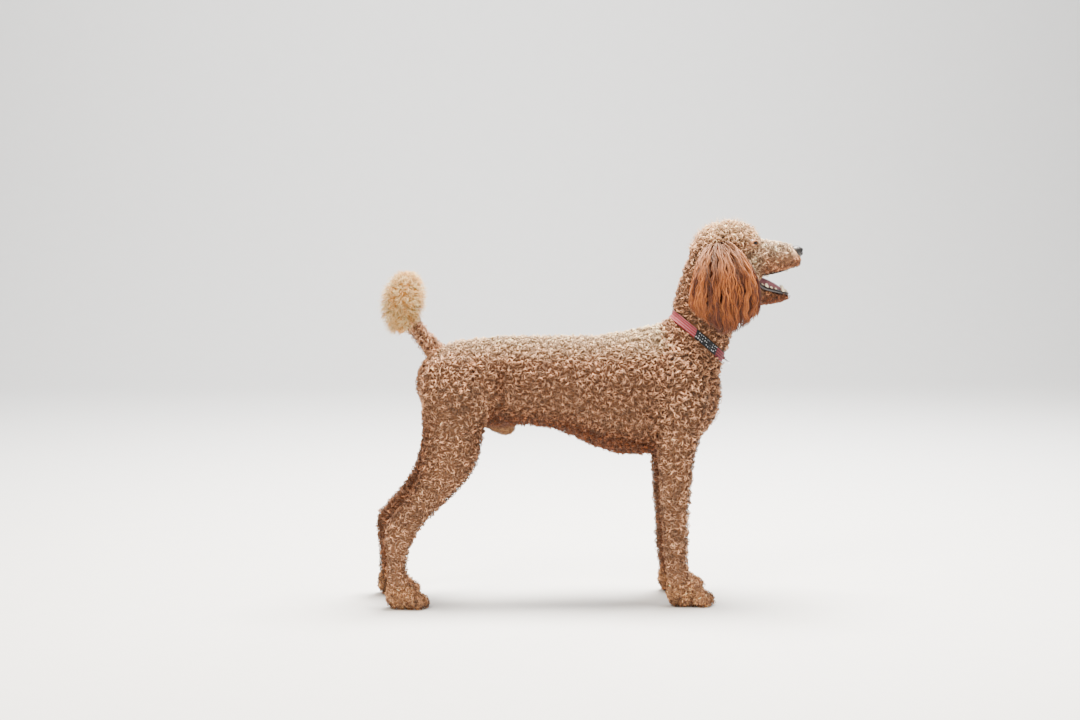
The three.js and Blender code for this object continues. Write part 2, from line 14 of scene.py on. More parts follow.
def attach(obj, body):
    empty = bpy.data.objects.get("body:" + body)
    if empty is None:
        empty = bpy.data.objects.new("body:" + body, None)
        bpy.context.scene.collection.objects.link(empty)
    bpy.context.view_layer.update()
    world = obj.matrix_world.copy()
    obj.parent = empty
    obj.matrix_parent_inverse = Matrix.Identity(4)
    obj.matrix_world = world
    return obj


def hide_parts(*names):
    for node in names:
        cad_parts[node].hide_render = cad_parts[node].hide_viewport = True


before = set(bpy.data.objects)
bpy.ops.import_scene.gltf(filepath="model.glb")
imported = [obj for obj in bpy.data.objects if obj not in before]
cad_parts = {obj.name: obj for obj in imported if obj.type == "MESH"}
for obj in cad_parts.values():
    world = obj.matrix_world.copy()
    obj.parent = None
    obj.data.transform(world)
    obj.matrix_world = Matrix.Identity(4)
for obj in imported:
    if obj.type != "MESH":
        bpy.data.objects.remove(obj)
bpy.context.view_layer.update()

bl_info = {
    "name": "Curly poodle",
    "version": (1, 0, 0),
    "blender": (4, 5, 0),
    "location": "View3D > Sidebar > Poodle",
    "description": "Builds a standing standard poodle with a curly coat of solid tufts",
    "category": "Add Mesh",
}

BODY = "root"
MM = 0.001

# Forms
#
# A form is a loft through sections read from the side view, in millimetres. Each row is one section:
# x and z of a point of the outline, x and z of the point across from it, then the half width, how far
# to the left the middle sits, and the depth of the coat. Widths are guessed from the breed, because
# the photo shows one side.

FRONT_STANCE = 84
HIND_STANCE = 80
LEFT_HIND_BACK = 22
STIFLE_HEIGHT = 430
HOCK_HEIGHT = 200

TORSO = [
    (-386, 472, -386, 524, 30, 0, 8),
    (-364, 432, -366, 556, 60, 0, 8),
    (-322, 404, -328, 584, 80, 0, 8),
    (-262, 395, -271, 597, 86, 0, 8),
    (-198, 399, -204, 603, 82, 0, 7.5),
    (-130, 398, -136, 605, 86, 0, 7.5),
    (-64, 385, -68, 604, 94, 0, 7.5),
    (4, 353, -1, 604, 102, 0, 8),
    (64, 333, 66, 612, 106, 0, 8),
    (125, 331, 124, 624, 103, 0, 8),
    (186, 340, 176, 628, 92, 0, 8),
    (238, 366, 227, 600, 76, 0, 8),
    (272, 398, 266, 558, 56, 0, 8),
    (287, 448, 288, 512, 30, 0, 8),
]
NECK = [
    (238, 404, 146, 616, 82, 0, 8),
    (276, 474, 164, 636, 72, 0, 8),
    (304, 550, 183, 652, 62, 0, 8),
    (320, 592, 188, 684, 59, 0, 8),
    (331, 634, 199, 723, 57, 0, 8),
    (343, 668, 212, 762, 55, 0, 8),
    (352, 700, 230, 793, 50, 0, 8),
]
SKULL = [
    (237, 722, 232, 802, 36, 0, 8),
    (252, 692, 248, 834, 53, 0, 9),
    (276, 682, 275, 855, 60, 0, 10),
    (312, 682, 311, 863, 60, 0, 10),
    (346, 692, 342, 858, 54, 0, 8),
    (370, 712, 366, 843, 43, 0, 5),
    (390, 732, 385, 822, 32.5, 0, 3.5),
    (412, 736, 412, 815, 28, 0, 3),
    (440, 742, 439, 811, 26, 0, 2.5),
    (462, 752, 461, 803, 22, 0, 2),
    (473, 761, 472, 797, 15, 0, 1.5),
]
JAW = [
    (330, 668, 322, 742, 38, 0, 6),
    (364, 667, 361, 726, 31, 0, 4),
    (392, 672, 390, 709, 23.5, 0, 2.5),
    (415, 674, 413, 704, 20, 0, 2.5),
    (435, 679, 433, 700, 17, 0, 2),
    (449, 686, 449, 698, 11, 0, 1.5),
]
TAIL = [
    (-330, 520, -296, 540, 19, 0, 5),
    (-362, 556, -334, 579, 18.5, 0, 6),
    (-383, 580, -356, 602, 17, 0, 6),
    (-401, 605, -376, 624, 16, 0, 6),
    (-419, 632, -390, 648, 15, 0, 6),
    (-432, 668, -402, 676, 13, 0, 6),
    (-432, 700, -410, 702, 9, 0, 4),
]
POMPON = [
    (-446, 604, -404, 612, 22, 0, 17),
    (-468, 636, -380, 644, 42, 0, 20),
    (-474, 673, -370, 678, 50, 0, 20),
    (-468, 708, -368, 709, 48, 0, 20),
    (-448, 736, -380, 736, 36, 0, 18),
    (-426, 750, -398, 750, 14, 0, 12),
]
FRONT_LEG = [
    (126, 560, 236, 560, 34, -52, 8),
    (127, 487, 262, 488, 42, -60, 8),
    (136, 420, 256, 418, 42, -67, 8),
    (139, 380, 246, 380, 38, -73, 8),
    (142, 340, 233, 340, 35, -77, 8),
    (146, 290, 227, 290, 32, -80, 8),
    (150, 230, 220, 230, 30, -82, 8),
    (154, 170, 218, 170, 28.5, -83, 8),
    (158, 115, 216, 115, 28, -FRONT_STANCE, 7),
    (165, 70, 219, 74, 28, -FRONT_STANCE, 6),
    (174, 30, 226, 44, 27, -FRONT_STANCE, 5),
]
HIND_LEG = [
    (-362, 548, -250, 560, 30, -48, 8),
    (-385, 500, -226, 486, 45, -52, 8),
    (-384, 444, -231, 424, 48, -55, 8),
    (-382, 389, -241, 379, 46, -59, 8),
    (-383, 344, -249, 338, 42, -64, 8),
    (-390, 299, -268, 298, 37, -68, 8),
    (-405, 266, -297, 265, 32, -71, 8),
    (-425, 235, -329, 234, 29, -74, 8),
    (-448, 211, -358, 205, 27, -76, 8),
    (-465, 188, -381, 178, 26, -78, 8),
    (-467, 160, -397, 150, 25.5, -HIND_STANCE, 7),
    (-463, 120, -410, 118, 25, -HIND_STANCE, 7),
    (-461, 75, -411, 77, 25, -HIND_STANCE, 6),
    (-457, 36, -404, 50, 26, -HIND_STANCE, 5),
]
FRONT_PAW = [
    (171, 16, 170, 44, 22, -FRONT_STANCE, 3),
    (184, -2, 181, 62, 29, -FRONT_STANCE, 4),
    (210, -6, 207, 66, 31, -FRONT_STANCE, 4),
    (236, -6, 232, 50, 31, -FRONT_STANCE, 3.5),
    (254, -5, 252, 34, 27, -FRONT_STANCE, 3),
    (264, 1, 263, 25, 20, -FRONT_STANCE, 3),
]
HIND_PAW = [
    (-458, 14, -459, 40, 20, -HIND_STANCE, 3),
    (-444, -2, -448, 58, 27, -HIND_STANCE, 4),
    (-420, -6, -423, 60, 29, -HIND_STANCE, 4),
    (-398, -6, -401, 47, 29, -HIND_STANCE, 3.5),
    (-384, -4, -385, 33, 26, -HIND_STANCE, 3),
    (-375, 2, -375, 23, 19, -HIND_STANCE, 3),
]
EAR = [
    (262, 800, 300, 812, 9, -54, 4),
    (244, 774, 334, 784, 14, -65, 6),
    (226, 738, 364, 742, 18, -73, 9),
    (219, 703, 372, 706, 20, -76, 12),
    (228, 674, 366, 676, 19, -76, 14),
    (248, 654, 350, 652, 17, -75, 14),
]
SHEATH = [
    (-238, 398, -236, 436, 17, 0, 1),
    (-212, 384, -210, 432, 21, 0, 1),
    (-190, 378, -188, 420, 18, 0, 1),
    (-174, 385, -172, 405, 10, 0, 1),
]
TONGUE = [
    (352, 712, 352, 741, 15, 0, 0),
    (372, 709, 374, 739, 16, 0, 0),
    (386, 706, 388, 734, 15.5, 0, 0),
    (404, 702, 408, 726, 14.5, 0, 0),
    (420, 700, 424, 717, 12.5, 0, 0),
    (431, 702, 433, 709, 6, 0, 0),
]
NOSE = [
    (459, 782, 457, 801, 12, 0, 0),
    (468, 779, 465, 804, 15, 0, 0),
    (476, 781, 473, 803, 14.5, 0, 0),
    (482, 787, 480, 798, 10, 0, 0),
]

# The sheet that the hair of the right ear falls in, wider at its hem than the ear, whose hem is cut round
EAR_FALL = [
    (254, 808, 308, 818, 7, -56, 0),
    (236, 778, 336, 790, 13, -67, 0),
    (225, 742, 356, 757, 16, -76, 0),
    (217, 704, 369, 722, 18, -80, 0),
    (218, 668, 373, 688, 18, -81, 0),
    (225, 634, 371, 656, 16, -80, 0),
    (237, 600, 362, 622, 13, -79, 0),
]

COLLAR_AT = 2  # the section of the neck under the collar
COLLAR_SINK = 5.5  # how deep the webbing is pressed into the coat, in millimetres
COLLAR_BAND = 12.5  # how far from the collar's middle line the hair is left out, in millimetres
NECK_FROM, NECK_ABOVE = 0.15, 0.5  # how far forward and how high the collar's hair is, in metres
RING_RADIUS = 9
TOES_ASIDE = (-23, -8.5, 8.5, 23)
TOE_FOLDS = (-15.5, 0, 15.5)  # where the folds between the toes are
TOE_ARC = 0.026  # how fast the toes fall back from the middle ones
TOE_RADII, KNUCKLE_RADII = (15, 8.6, 12.5), (14, 7.6, 9.5)
MUZZLE_FROM = 366  # how far forward the curls of the head give way to the short hair of the muzzle
EYE_AT = (362, 811)
EYE_ASIDE = 35
EYE_RADIUS = 10.5
EYE_OPENING = (5.9, 3.1)  # half the length and half the height of the gap between the lids
IRIS_WITHIN, PUPIL_WITHIN = 0.2, 0.93  # cosines of their edges' angles from the gaze
GAZE = (0.55, 0.83, 0.08)


def mirrored(form):
    return [(*row[:5], -row[5], row[6]) for row in form]


def moved(form, back):
    """A form moved back, by one length or by one for each section."""
    steps = np.broadcast_to(back, len(form))
    return [(row[0] - by, row[1], row[2] - by, *row[3:]) for row, by in zip(form, steps)]


def stepped_back(form):
    """A hind leg moved back from the stifle down."""
    share = np.array([(STIFLE_HEIGHT - row[1]) / (STIFLE_HEIGHT - HOCK_HEIGHT) for row in form]).clip(0, 1)
    return moved(form, LEFT_HIND_BACK * share**2 * (3 - 2 * share))


FORMS = {
    "torso": TORSO,
    "neck": NECK,
    "skull": SKULL,
    "jaw": JAW,
    "tail": TAIL,
    "front_leg_right": FRONT_LEG,
    "front_leg_left": mirrored(FRONT_LEG),
    "hind_leg_right": HIND_LEG,
    "hind_leg_left": stepped_back(mirrored(HIND_LEG)),
    "front_paw_right": FRONT_PAW,
    "front_paw_left": mirrored(FRONT_PAW),
    "hind_paw_right": HIND_PAW,
    "hind_paw_left": moved(mirrored(HIND_PAW), LEFT_HIND_BACK),
    "ear_right": EAR,
    "ear_left": mirrored(EAR),
    "sheath": SHEATH,
    "pompon": POMPON,
}
FORM_NAMES = list(FORMS)
SIDES = ("right", "left")
PAWS = (
    (FRONT_PAW, -FRONT_STANCE, 0),
    (FRONT_PAW, FRONT_STANCE, 0),
    (HIND_PAW, -HIND_STANCE, 0),
    (HIND_PAW, HIND_STANCE, LEFT_HIND_BACK),
)
LEG_PARTS = ("front_leg", "front_paw", "thigh", "hind_shank", "hind_pastern", "hind_paw")


def on_both_sides(*parts):
    return [f"{part}_{side}" for side in SIDES for part in parts]


FLESH_NODES = ["torso", "neck", "head", "lower_jaw", "tail", "tail_pompon", *on_both_sides("ear")]
FLESH_NODES += on_both_sides(*LEG_PARTS)


def spline(form, share):
    """The rows of a form at shares of its length, on a smooth curve through its sections."""
    rows = np.asarray(form, float)
    last = len(rows) - 1
    place = np.clip(np.atleast_1d(share), 0, 1) * last
    i = np.minimum(place.astype(int), last - 1)
    t = (place - i)[:, None]
    padded = np.vstack([2 * rows[0] - rows[1], rows, 2 * rows[-1] - rows[-2]])
    a, b, c, d = (padded[i + k] for k in range(4))
    return 0.5 * (2 * b + (c - a) * t + (2 * a - 5 * b + 4 * c - d) * t**2 + (3 * b - a - 3 * c + d) * t**3)


def surface(form, share, turn, grow=0.0, furred=False, power=2.0):
    """Points of a form in metres: share and turn are arrays, and grow is in millimetres."""
    share, turn = np.broadcast_arrays(np.asarray(share, float), np.asarray(turn, float))
    rows = spline(form, share.ravel()).reshape(*share.shape, 7)
    low, high = rows[..., 0:2], rows[..., 2:4]
    inset = grow - (rows[..., 6] if furred else 0)
    middle, depth = (low + high) / 2, (high - low) / 2
    reach = np.linalg.norm(depth, axis=-1)
    depth = depth * (np.maximum(reach + inset, 1) / np.maximum(reach, 1e-6))[..., None]
    half = np.maximum(rows[..., 4] + inset, 1)
    c, s = np.cos(turn), np.sin(turn)
    full = (np.abs(c) ** power + np.abs(s) ** power) ** (-1 / power)
    x, z = (middle[..., k] + depth[..., k] * c * full for k in range(2))
    return np.stack([x, rows[..., 5] + half * s * full, z], -1) * MM


def form_power(name):
    return 2.2 if name == "skull" else 2.0


# Mesh helpers


def linked(mesh, name):
    piece = bpy.data.objects.new(name, mesh)
    bpy.context.scene.collection.objects.link(piece)
    return piece


def mesh_from(name, points, *groups):
    """A smooth mesh from points and arrays of faces, each array with one number of corners."""
    mesh = bpy.data.meshes.new(name)
    corners = np.concatenate([g.ravel() for g in groups]).astype(np.int32)
    sizes = np.concatenate([np.full(len(g), g.shape[1]) for g in groups]).astype(np.int32)
    mesh.vertices.add(len(points))
    mesh.vertices.foreach_set("co", np.asarray(points, np.float32).ravel())
    mesh.loops.add(len(corners))
    mesh.loops.foreach_set("vertex_index", corners)
    mesh.polygons.add(len(sizes))
    mesh.polygons.foreach_set("loop_start", np.concatenate([[0], np.cumsum(sizes)[:-1]]).astype(np.int32))
    mesh.update(calc_edges=True)
    mesh.validate()
    return smooth(mesh)


def smooth(mesh):
    mesh.polygons.foreach_set("use_smooth", np.ones(len(mesh.polygons), bool))
    return mesh


def coordinates(mesh):
    points = np.empty(len(mesh.vertices) * 3, np.float32)
    mesh.vertices.foreach_get("co", points)
    return points.reshape(-1, 3).astype(float)


def reshape(mesh, points):
    mesh.vertices.foreach_set("co", points.astype(np.float32).ravel())
    mesh.update()
    return smooth(mesh)


def loop_vertices(mesh):
    vertex = np.empty(len(mesh.loops), np.int32)
    mesh.loops.foreach_get("vertex_index", vertex)
    return vertex


def map_uv(mesh, name, places):
    mesh.uv_layers.new(name=name).data.foreach_set("uv", places.astype(np.float32).ravel())


def triangle_corners(mesh):
    """The three corner points of every triangle."""
    mesh.calc_loop_triangles()
    corners = np.empty(len(mesh.loop_triangles) * 3, np.int32)
    mesh.loop_triangles.foreach_get("vertices", corners)
    return coordinates(mesh)[corners.reshape(-1, 3)]


def outward(mesh):
    """Turns a closed mesh's faces outward."""
    corners = triangle_corners(mesh)
    if np.einsum("ij,ij->i", corners[:, 0], np.cross(corners[:, 1], corners[:, 2])).sum() < 0:
        mesh.flip_normals()
    return mesh


def ring_quads(rows, count, closed=False):
    """Quads between rings of points, and back to the first ring if it is closed."""
    i, j = np.meshgrid(np.arange(rows if closed else rows - 1), np.arange(count), indexing="ij")
    k, m = (j + 1) % count, (i + 1) % rows
    return np.stack([i * count + j, i * count + k, m * count + k, m * count + j], -1).reshape(-1, 4)


def tube_mesh(name, rings):
    """A closed body through rings, an array of shape rows, corners, 3."""
    rows, count, _ = rings.shape
    j = np.arange(count)
    k = (j + 1) % count
    end = (rows - 1) * count
    first = np.stack([np.full(count, rows * count), k, j], -1)
    last = np.stack([np.full(count, rows * count + 1), end + j, end + k], -1)
    points = np.vstack([rings.reshape(-1, 3), rings[0].mean(0), rings[-1].mean(0)])
    return outward(mesh_from(name, points, ring_quads(rows, count), first, last))


def circle(count):
    return np.linspace(0, 2 * math.pi, count, endpoint=False)


def form_length(form):
    return np.linalg.norm(np.diff(np.asarray(form)[:, :4], axis=0), axis=1).sum() / 2


def loft_mesh(name, form, sides=48, step=6.0, **shape):
    rows = max(int(form_length(form) / step), len(form) * 2)
    return tube_mesh(name, surface(form, np.linspace(0, 1, rows)[:, None], circle(sides)[None, :], **shape))


def ball_mesh(name, centre, radii, rings=24, sides=32):
    up = np.linspace(0.02, math.pi - 0.02, rings)[:, None]
    turn = circle(sides)[None, :]
    shape = np.broadcast_arrays(np.sin(up) * np.cos(turn), np.sin(up) * np.sin(turn), np.cos(up))
    return tube_mesh(name, (np.stack(shape, -1) * np.asarray(radii) + np.asarray(centre)) * MM)


def swept(name, path, radius, flat=1.0, sides=10):
    """A tube along a path in millimetres, with a radius for each point of it."""
    path = np.asarray(path, float)
    share, fine = np.linspace(0, 1, len(path)), np.linspace(0, 1, len(path) * 6)
    line = np.stack([np.interp(fine, share, path[:, i]) for i in range(3)], -1)
    for _ in range(6):
        line[1:-1] = (line[:-2] + 2 * line[1:-1] + line[2:]) / 4
    size = np.interp(fine, share, radius)
    along = unit(np.gradient(line, axis=0))
    side = unit(np.cross(along, [[0, 0, 1.0]]))
    up = np.cross(side, along)
    turn = circle(sides)[None, :, None]
    ring = side[:, None] * np.cos(turn) + up[:, None] * (flat * np.sin(turn))
    return tube_mesh(name, (line[:, None] + ring * size[:, None, None]) * MM)


def joined(name, meshes):
    pieces = [linked(mesh, f"{name}_{i}") for i, mesh in enumerate(meshes)]
    bpy.ops.object.select_all(action="DESELECT")
    for piece in pieces:
        piece.select_set(True)
    bpy.context.view_layer.objects.active = pieces[0]
    bpy.ops.object.join()
    pieces[0].name = name
    return pieces[0]


def remeshed(piece, grain, rounds):
    """Makes one closed surface of a piece's bodies, with cells of the given size, and softens it."""
    remesh = piece.modifiers.new("remesh", "REMESH")
    remesh.mode = "VOXEL"
    remesh.voxel_size = grain
    soften = piece.modifiers.new("soften", "SMOOTH")
    soften.iterations = rounds
    seen = piece.evaluated_get(bpy.context.evaluated_depsgraph_get())
    mesh = bpy.data.meshes.new_from_object(seen)
    piece.modifiers.clear()
    piece.data = mesh
    return piece


def unit(vectors):
    return vectors / np.maximum(np.linalg.norm(vectors, axis=-1, keepdims=True), 1e-9)


def paint(mesh, colours):
    """Keeps one linear colour for each point, under the name that the materials read."""
    layer = mesh.attributes.new("tint", "FLOAT_COLOR", "POINT")
    full = np.ones((len(mesh.vertices), 4), np.float32)
    full[:, :3] = np.clip(colours, 0, 1)
    layer.data.foreach_set("color", full.ravel())


def finish_piece(piece, material, slot, *nodes):
    piece.data.materials.clear()
    piece.data.materials.append(material)
    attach(piece, BODY)
    if nodes:
        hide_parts(*nodes)


# Colours and settings that a user would change


def linear(hexadecimal):
    """An sRGB hex colour as linear red, green and blue."""
    channels = [int(hexadecimal[i : i + 2], 16) / 255 for i in (1, 3, 5)]
    return np.array([c / 12.92 if c <= 0.04045 else ((c + 0.055) / 1.055) ** 2.4 for c in channels])


def rgba(hexadecimal):
    return (*linear(hexadecimal), 1.0)


WARM = rgba("#EAD2BE")  # light that the hair scatters back at a grazing angle

# Parts of the coat that have a colour of their own, beside those that a user would change; the side of the
# muzzle's colour is partly painted shade
PASTERN = "#DDA070"
ABOVE_TOES = "#E8A874"
SIDE_OF_MUZZLE = "#C98F69"
UPPER_LIP_HAIR = "#8A4C2C"
CHIN_HAIR = "#7A3B1C"
SHEATH_TIP, SHEATH_ROOT = "#A5764F", "#6E4C48"
MOUTH_LINING = "#3A1C1E"


def blend(first, second, share):
    """Moves colours towards another one by a share for each point."""
    return first + (np.asarray(second) - first) * np.asarray(share)[..., None]


def colour(name, description, hexadecimal):
    default = tuple(linear(hexadecimal))
    return bpy.props.FloatVectorProperty(
        name=name, description=description, subtype="COLOR", size=3, min=0, max=1, default=default
    )


def length(name, description, metres):
    return bpy.props.FloatProperty(
        name=name, description=description, subtype="DISTANCE", unit="LENGTH", default=metres, min=0
    )


def number(name, description, count):
    return bpy.props.IntProperty(name=name, description=description, default=count, min=1)


def angle(name, description, degrees):
    return bpy.props.FloatProperty(
        name=name, description=description, subtype="ANGLE", default=math.radians(degrees)
    )


class CoatSettings(bpy.types.PropertyGroup):
    curl_spacing: length("Curl spacing", "How far apart the curls of the body are rooted", 0.0055)
    curl_radius: length("Curl radius", "Half the width of one ringlet of the body", 0.004)
    curl_width: length("Curl width", "Width of the lock of hair that forms a ringlet", 0.0026)
    knot_spacing: length("Knot spacing", "How far apart the middles of clumped curls are", 0.015)
    voxel: length("Skin grain", "Size of the cells that the skin is remeshed with", 0.0033)
    body: colour("Body", "Curls of the body and legs", "#CA9570")
    # Painted highlight: the top line is made lighter where light from above falls on it
    back: colour("Back", "Curls along the top line", "#FFE3B6")
    # Painted highlight: the top of the head is made lighter where light from above falls on it
    crown: colour("Crown", "Curls on top of the head", "#FFD6A6")
    # The short belly hair's own darker colour, also used as painted shade in folds, inside the legs, low on
    # the torso and on the neck
    belly_and_shade: colour("Belly", "Short hair under the ribs and in the folds", "#6E3817")
    # The roots' own dark colour, and also painted shade on the skin between the curls
    undercoat_and_shade: colour("Undercoat", "Roots of the hair and the skin between curls", "#3A1C0B")
    seed: number("Seed", "Start of every random draw of the coat", 11)


class EarSettings(bpy.types.PropertyGroup):
    locks: number("Locks", "Number of locks on each ear", 2050)
    width: length("Lock width", "Width of one lock at its widest", 0.0025)
    light: colour("Light locks", "Sun-bleached locks of the ear", "#C06F33")
    deep: colour("Deep locks", "Darker locks of the ear", "#4C1D06")
    tips: colour("Tips", "Lower edge of the ear", "#4A1A05")


class PomponSettings(bpy.types.PropertyGroup):
    tufts: number("Tufts", "Number of tufts in the tail's pompon", 2200)
    wisps: number("Wisps", "Number of single long hairs that stand off it", 900)
    pale: colour("Pale hair", "Hair of the pompon that the sun has bleached", "#FFE6A8")
    deep: colour("Deep hair", "Hair of the pompon between the pale locks", "#E5A55C")


class FaceSettings(bpy.types.PropertyGroup):
    muzzle: colour("Muzzle", "Pale short hair on top of the muzzle", "#FFDCB4")
    iris: colour("Iris", "Ring of the eye", "#2E160A")
    leather: colour("Nose leather", "Skin of the nose", "#141214")
    tongue: colour("Tongue", "Tongue", "#8E646B")


class CollarSettings(bpy.types.PropertyGroup):
    width: length("Width", "Width of the webbing", 0.021)
    thickness: length("Thickness", "Thickness of the webbing", 0.0032)
    ground: colour("Ground", "Dark part of the webbing", "#0B1018")
    stripe: colour("Stripe", "Coloured stripes of the webbing", "#8A1428")


class StageSettings(bpy.types.PropertyGroup):
    lens: bpy.props.FloatProperty(name="Lens", description="Focal length for a 36 mm sensor", default=65)
    distance: length("Distance", "Camera to dog", 4.3875)
    height: length("Height", "Camera above the floor", 0.916)
    pitch: angle("Pitch", "How far the camera looks down", 4.8)
    yaw: angle("Yaw", "How far the camera looks forward along the dog", 3)
    aim: bpy.props.FloatProperty(
        name="Aim", description="Where along the dog the view is centred", default=-0.1136, unit="LENGTH"
    )


# Materials


def node(tree, kind, inputs=None, **settings):
    """Adds a node with its settings, and sets or links its inputs."""
    made = tree.nodes.new(kind)
    for key, value in settings.items():
        setattr(made, key, value)
    for key, value in (inputs or {}).items():
        if isinstance(value, bpy.types.NodeSocket):
            tree.links.new(value, made.inputs[key])
        else:
            made.inputs[key].default_value = value
    return made


def new_material(name, **values):
    """A material with one shader, whose inputs get values or links."""
    material = bpy.data.materials.new(name)
    material.use_nodes = True
    tree = material.node_tree
    tree.nodes.clear()
    inputs = {key.replace("_", " "): value for key, value in values.items()}
    shader = node(tree, "ShaderNodeBsdfPrincipled", inputs)
    node(tree, "ShaderNodeOutputMaterial", {"Surface": shader.outputs["BSDF"]})
    return material, tree, shader


def colour_mix(tree, share, first, second):
    inputs = {"Factor": share, 6: first, 7: second}
    return node(tree, "ShaderNodeMix", inputs, data_type="RGBA").outputs[2]


def grain(tree, millimetres, detail=2.0):
    """Noise in the part's own space whose lumps are about so many millimetres wide."""
    where = node(tree, "ShaderNodeTexCoord").outputs["Object"]
    inputs = {"Vector": where, "Scale": 1 / (millimetres * MM), "Detail": detail}
    return node(tree, "ShaderNodeTexNoise", inputs).outputs["Fac"]


def mapped(tree, value, low, high):
    return node(tree, "ShaderNodeMapRange", {"Value": value, "To Min": low, "To Max": high}).outputs["Result"]


def shaded(tree, colour_socket, value, low, high):
    """A colour made darker and lighter by a pattern."""
    level = mapped(tree, value, low, high)
    channels = dict.fromkeys(("Red", "Green", "Blue"), level)
    grey = node(tree, "ShaderNodeCombineColor", channels).outputs["Color"]
    mix = node(tree, "ShaderNodeMix", data_type="RGBA", blend_type="MULTIPLY")
    mix.inputs["Factor"].default_value = 1.0
    tree.links.new(colour_socket, mix.inputs[6])
    tree.links.new(grey, mix.inputs[7])
    return mix.outputs[2]


def bumped(tree, shader, height, depth_mm, strength=0.6):
    bump = node(tree, "ShaderNodeBump", {"Height": height, "Distance": depth_mm * MM, "Strength": strength})
    tree.links.new(bump.outputs["Normal"], shader.inputs["Normal"])


def tinted_material(name, lump, unevenness, scale, depth, **values):
    """A material that shows the painted tint, uneven in lumps, with scales or fibres as a bump."""
    material, tree, shader = new_material(name, **values)
    tint = node(tree, "ShaderNodeAttribute", attribute_name="tint").outputs["Color"]
    uneven = shaded(tree, tint, grain(tree, lump), 1 - unevenness, 1 + unevenness)
    tree.links.new(uneven, shader.inputs["Base Color"])
    bumped(tree, shader, grain(tree, scale, 3.0), depth)
    return material


def mottled_material(name, first, second, lump, pore, depth, **values):
    """A material of two colours in lumps, with pores as a bump."""
    material, tree, shader = new_material(name, **values)
    tree.links.new(colour_mix(tree, grain(tree, lump), first, second), shader.inputs["Base Color"])
    bumped(tree, shader, grain(tree, pore, 3.0), depth)
    return material


def poodle_hair(name):
    """Curly poodle hair, wool-like and not shedding: matt, with a soft sheen where light grazes it."""
    return tinted_material(
        name, 3.0, 0.24, 0.9, 0.4,
        Roughness=0.72, Specular_IOR_Level=0.2, Sheen_Weight=0.2, Sheen_Tint=WARM,
    )


def feather_hair():
    """Long combed ear hair, straighter than the curls: silkier, so it catches narrow highlights."""
    return tinted_material(
        "long_silky_hair", 5.0, 0.2, 0.8, 0.3, Roughness=0.58, Specular_IOR_Level=0.3, Sheen_Weight=0.05
    )


def furred_skin():
    """Skin under the close curls: dull and creased; its tint is dark between the curls, partly the roots'
    colour and partly painted shade.
    """
    return tinted_material(
        "skin_under_hair", 4.0, 0.22, 1.2, 0.6,
        Roughness=0.8, Specular_IOR_Level=0.12, Sheen_Weight=0.1, Sheen_Tint=WARM,
    )


def eye_glass():
    """An eyeball under clear cornea: a dark brown iris, and a wet coat that mirrors the lights."""
    return tinted_material("wet_eye", 0.8, 0.2, 0.4, 0.02, Roughness=0.3, Coat_Weight=0.8, Coat_IOR=1.376)


def eyelid_skin():
    """Eyelid skin with its fine hair: black and moist at the rim, furred and dull further out."""
    return tinted_material("eyelid_skin", 2.0, 0.25, 0.7, 0.3, Roughness=0.55, Specular_IOR_Level=0.3)


def nose_leather():
    """A dog's nose leather: black, moist and pebbled, about a millimetre to a pebble."""
    face = bpy.context.scene.poodle_face
    material, tree, shader = new_material("pebbled_nose_leather", Specular_IOR_Level=0.6)
    where = node(tree, "ShaderNodeTexCoord").outputs["Object"]
    cells = {"Vector": where, "Scale": 1 / (1.1 * MM)}
    pebbles = node(tree, "ShaderNodeTexVoronoi", cells).outputs["Distance"]
    leather = colour_mix(tree, pebbles, (*face.leather, 1), rgba("#34302F"))
    tree.links.new(leather, shader.inputs["Base Color"])
    tree.links.new(mapped(tree, grain(tree, 3.0), 0.22, 0.42), shader.inputs["Roughness"])
    bumped(tree, shader, pebbles, 0.35, 0.8)
    return material


def moist_skin(name, first, second, rough=0.32):
    """Wet bare skin of tongue, gum or lip: mottled, with fine bumps under a film of water."""
    return mottled_material(
        name, first, second, 5.0, 0.8, 0.25, Roughness=rough, Coat_Weight=0.2, Coat_Roughness=0.2
    )


def tooth_enamel():
    """Tooth enamel: ivory and glossy, yellower in faint bands."""
    ivory, yellow = rgba("#F1E8D4"), rgba("#DCC9A2")
    return mottled_material("tooth_enamel", ivory, yellow, 2.5, 0.6, 0.08, Roughness=0.22, IOR=1.6)


def claw_horn():
    """Claw horn, keratin grown in layers: dark and half glossy, with streaks."""
    dark, brown = rgba("#2B211C"), rgba("#5A4638")
    return mottled_material("claw_horn", dark, brown, 1.5, 0.5, 0.1, Roughness=0.38, IOR=1.55)


def ring_steel():
    """Nickel-plated steel wire, bent and welded: bright, with a few rubbed patches."""
    material, tree, shader = new_material("nickel_plated_steel", Base_Color=rgba("#C9CCD0"), Metallic=1.0)
    tree.links.new(mapped(tree, grain(tree, 2.0, 4.0), 0.12, 0.34), shader.inputs["Roughness"])
    bumped(tree, shader, grain(tree, 0.7), 0.05)
    return material


def studio_paper():
    """Matt studio paper on a roll: pale, with the faintest mottle."""
    pale, paler = rgba("#E4E4E3"), rgba("#E8E8E7")
    return mottled_material("matt_studio_paper", pale, paler, 60.0, 4.0, 0.02, Roughness=0.9)


DOTS_FROM, DOTS_TO = 0.096, 0.164  # the stretch from the nape, in metres, where the webbing has dots
DOT_PITCH, STRIPE_PITCH, THREAD_PITCH = 6.2, 5.4, 1.4  # in millimetres
DOT_REACH = 0.17  # radius of a dot, as a share of the pitch


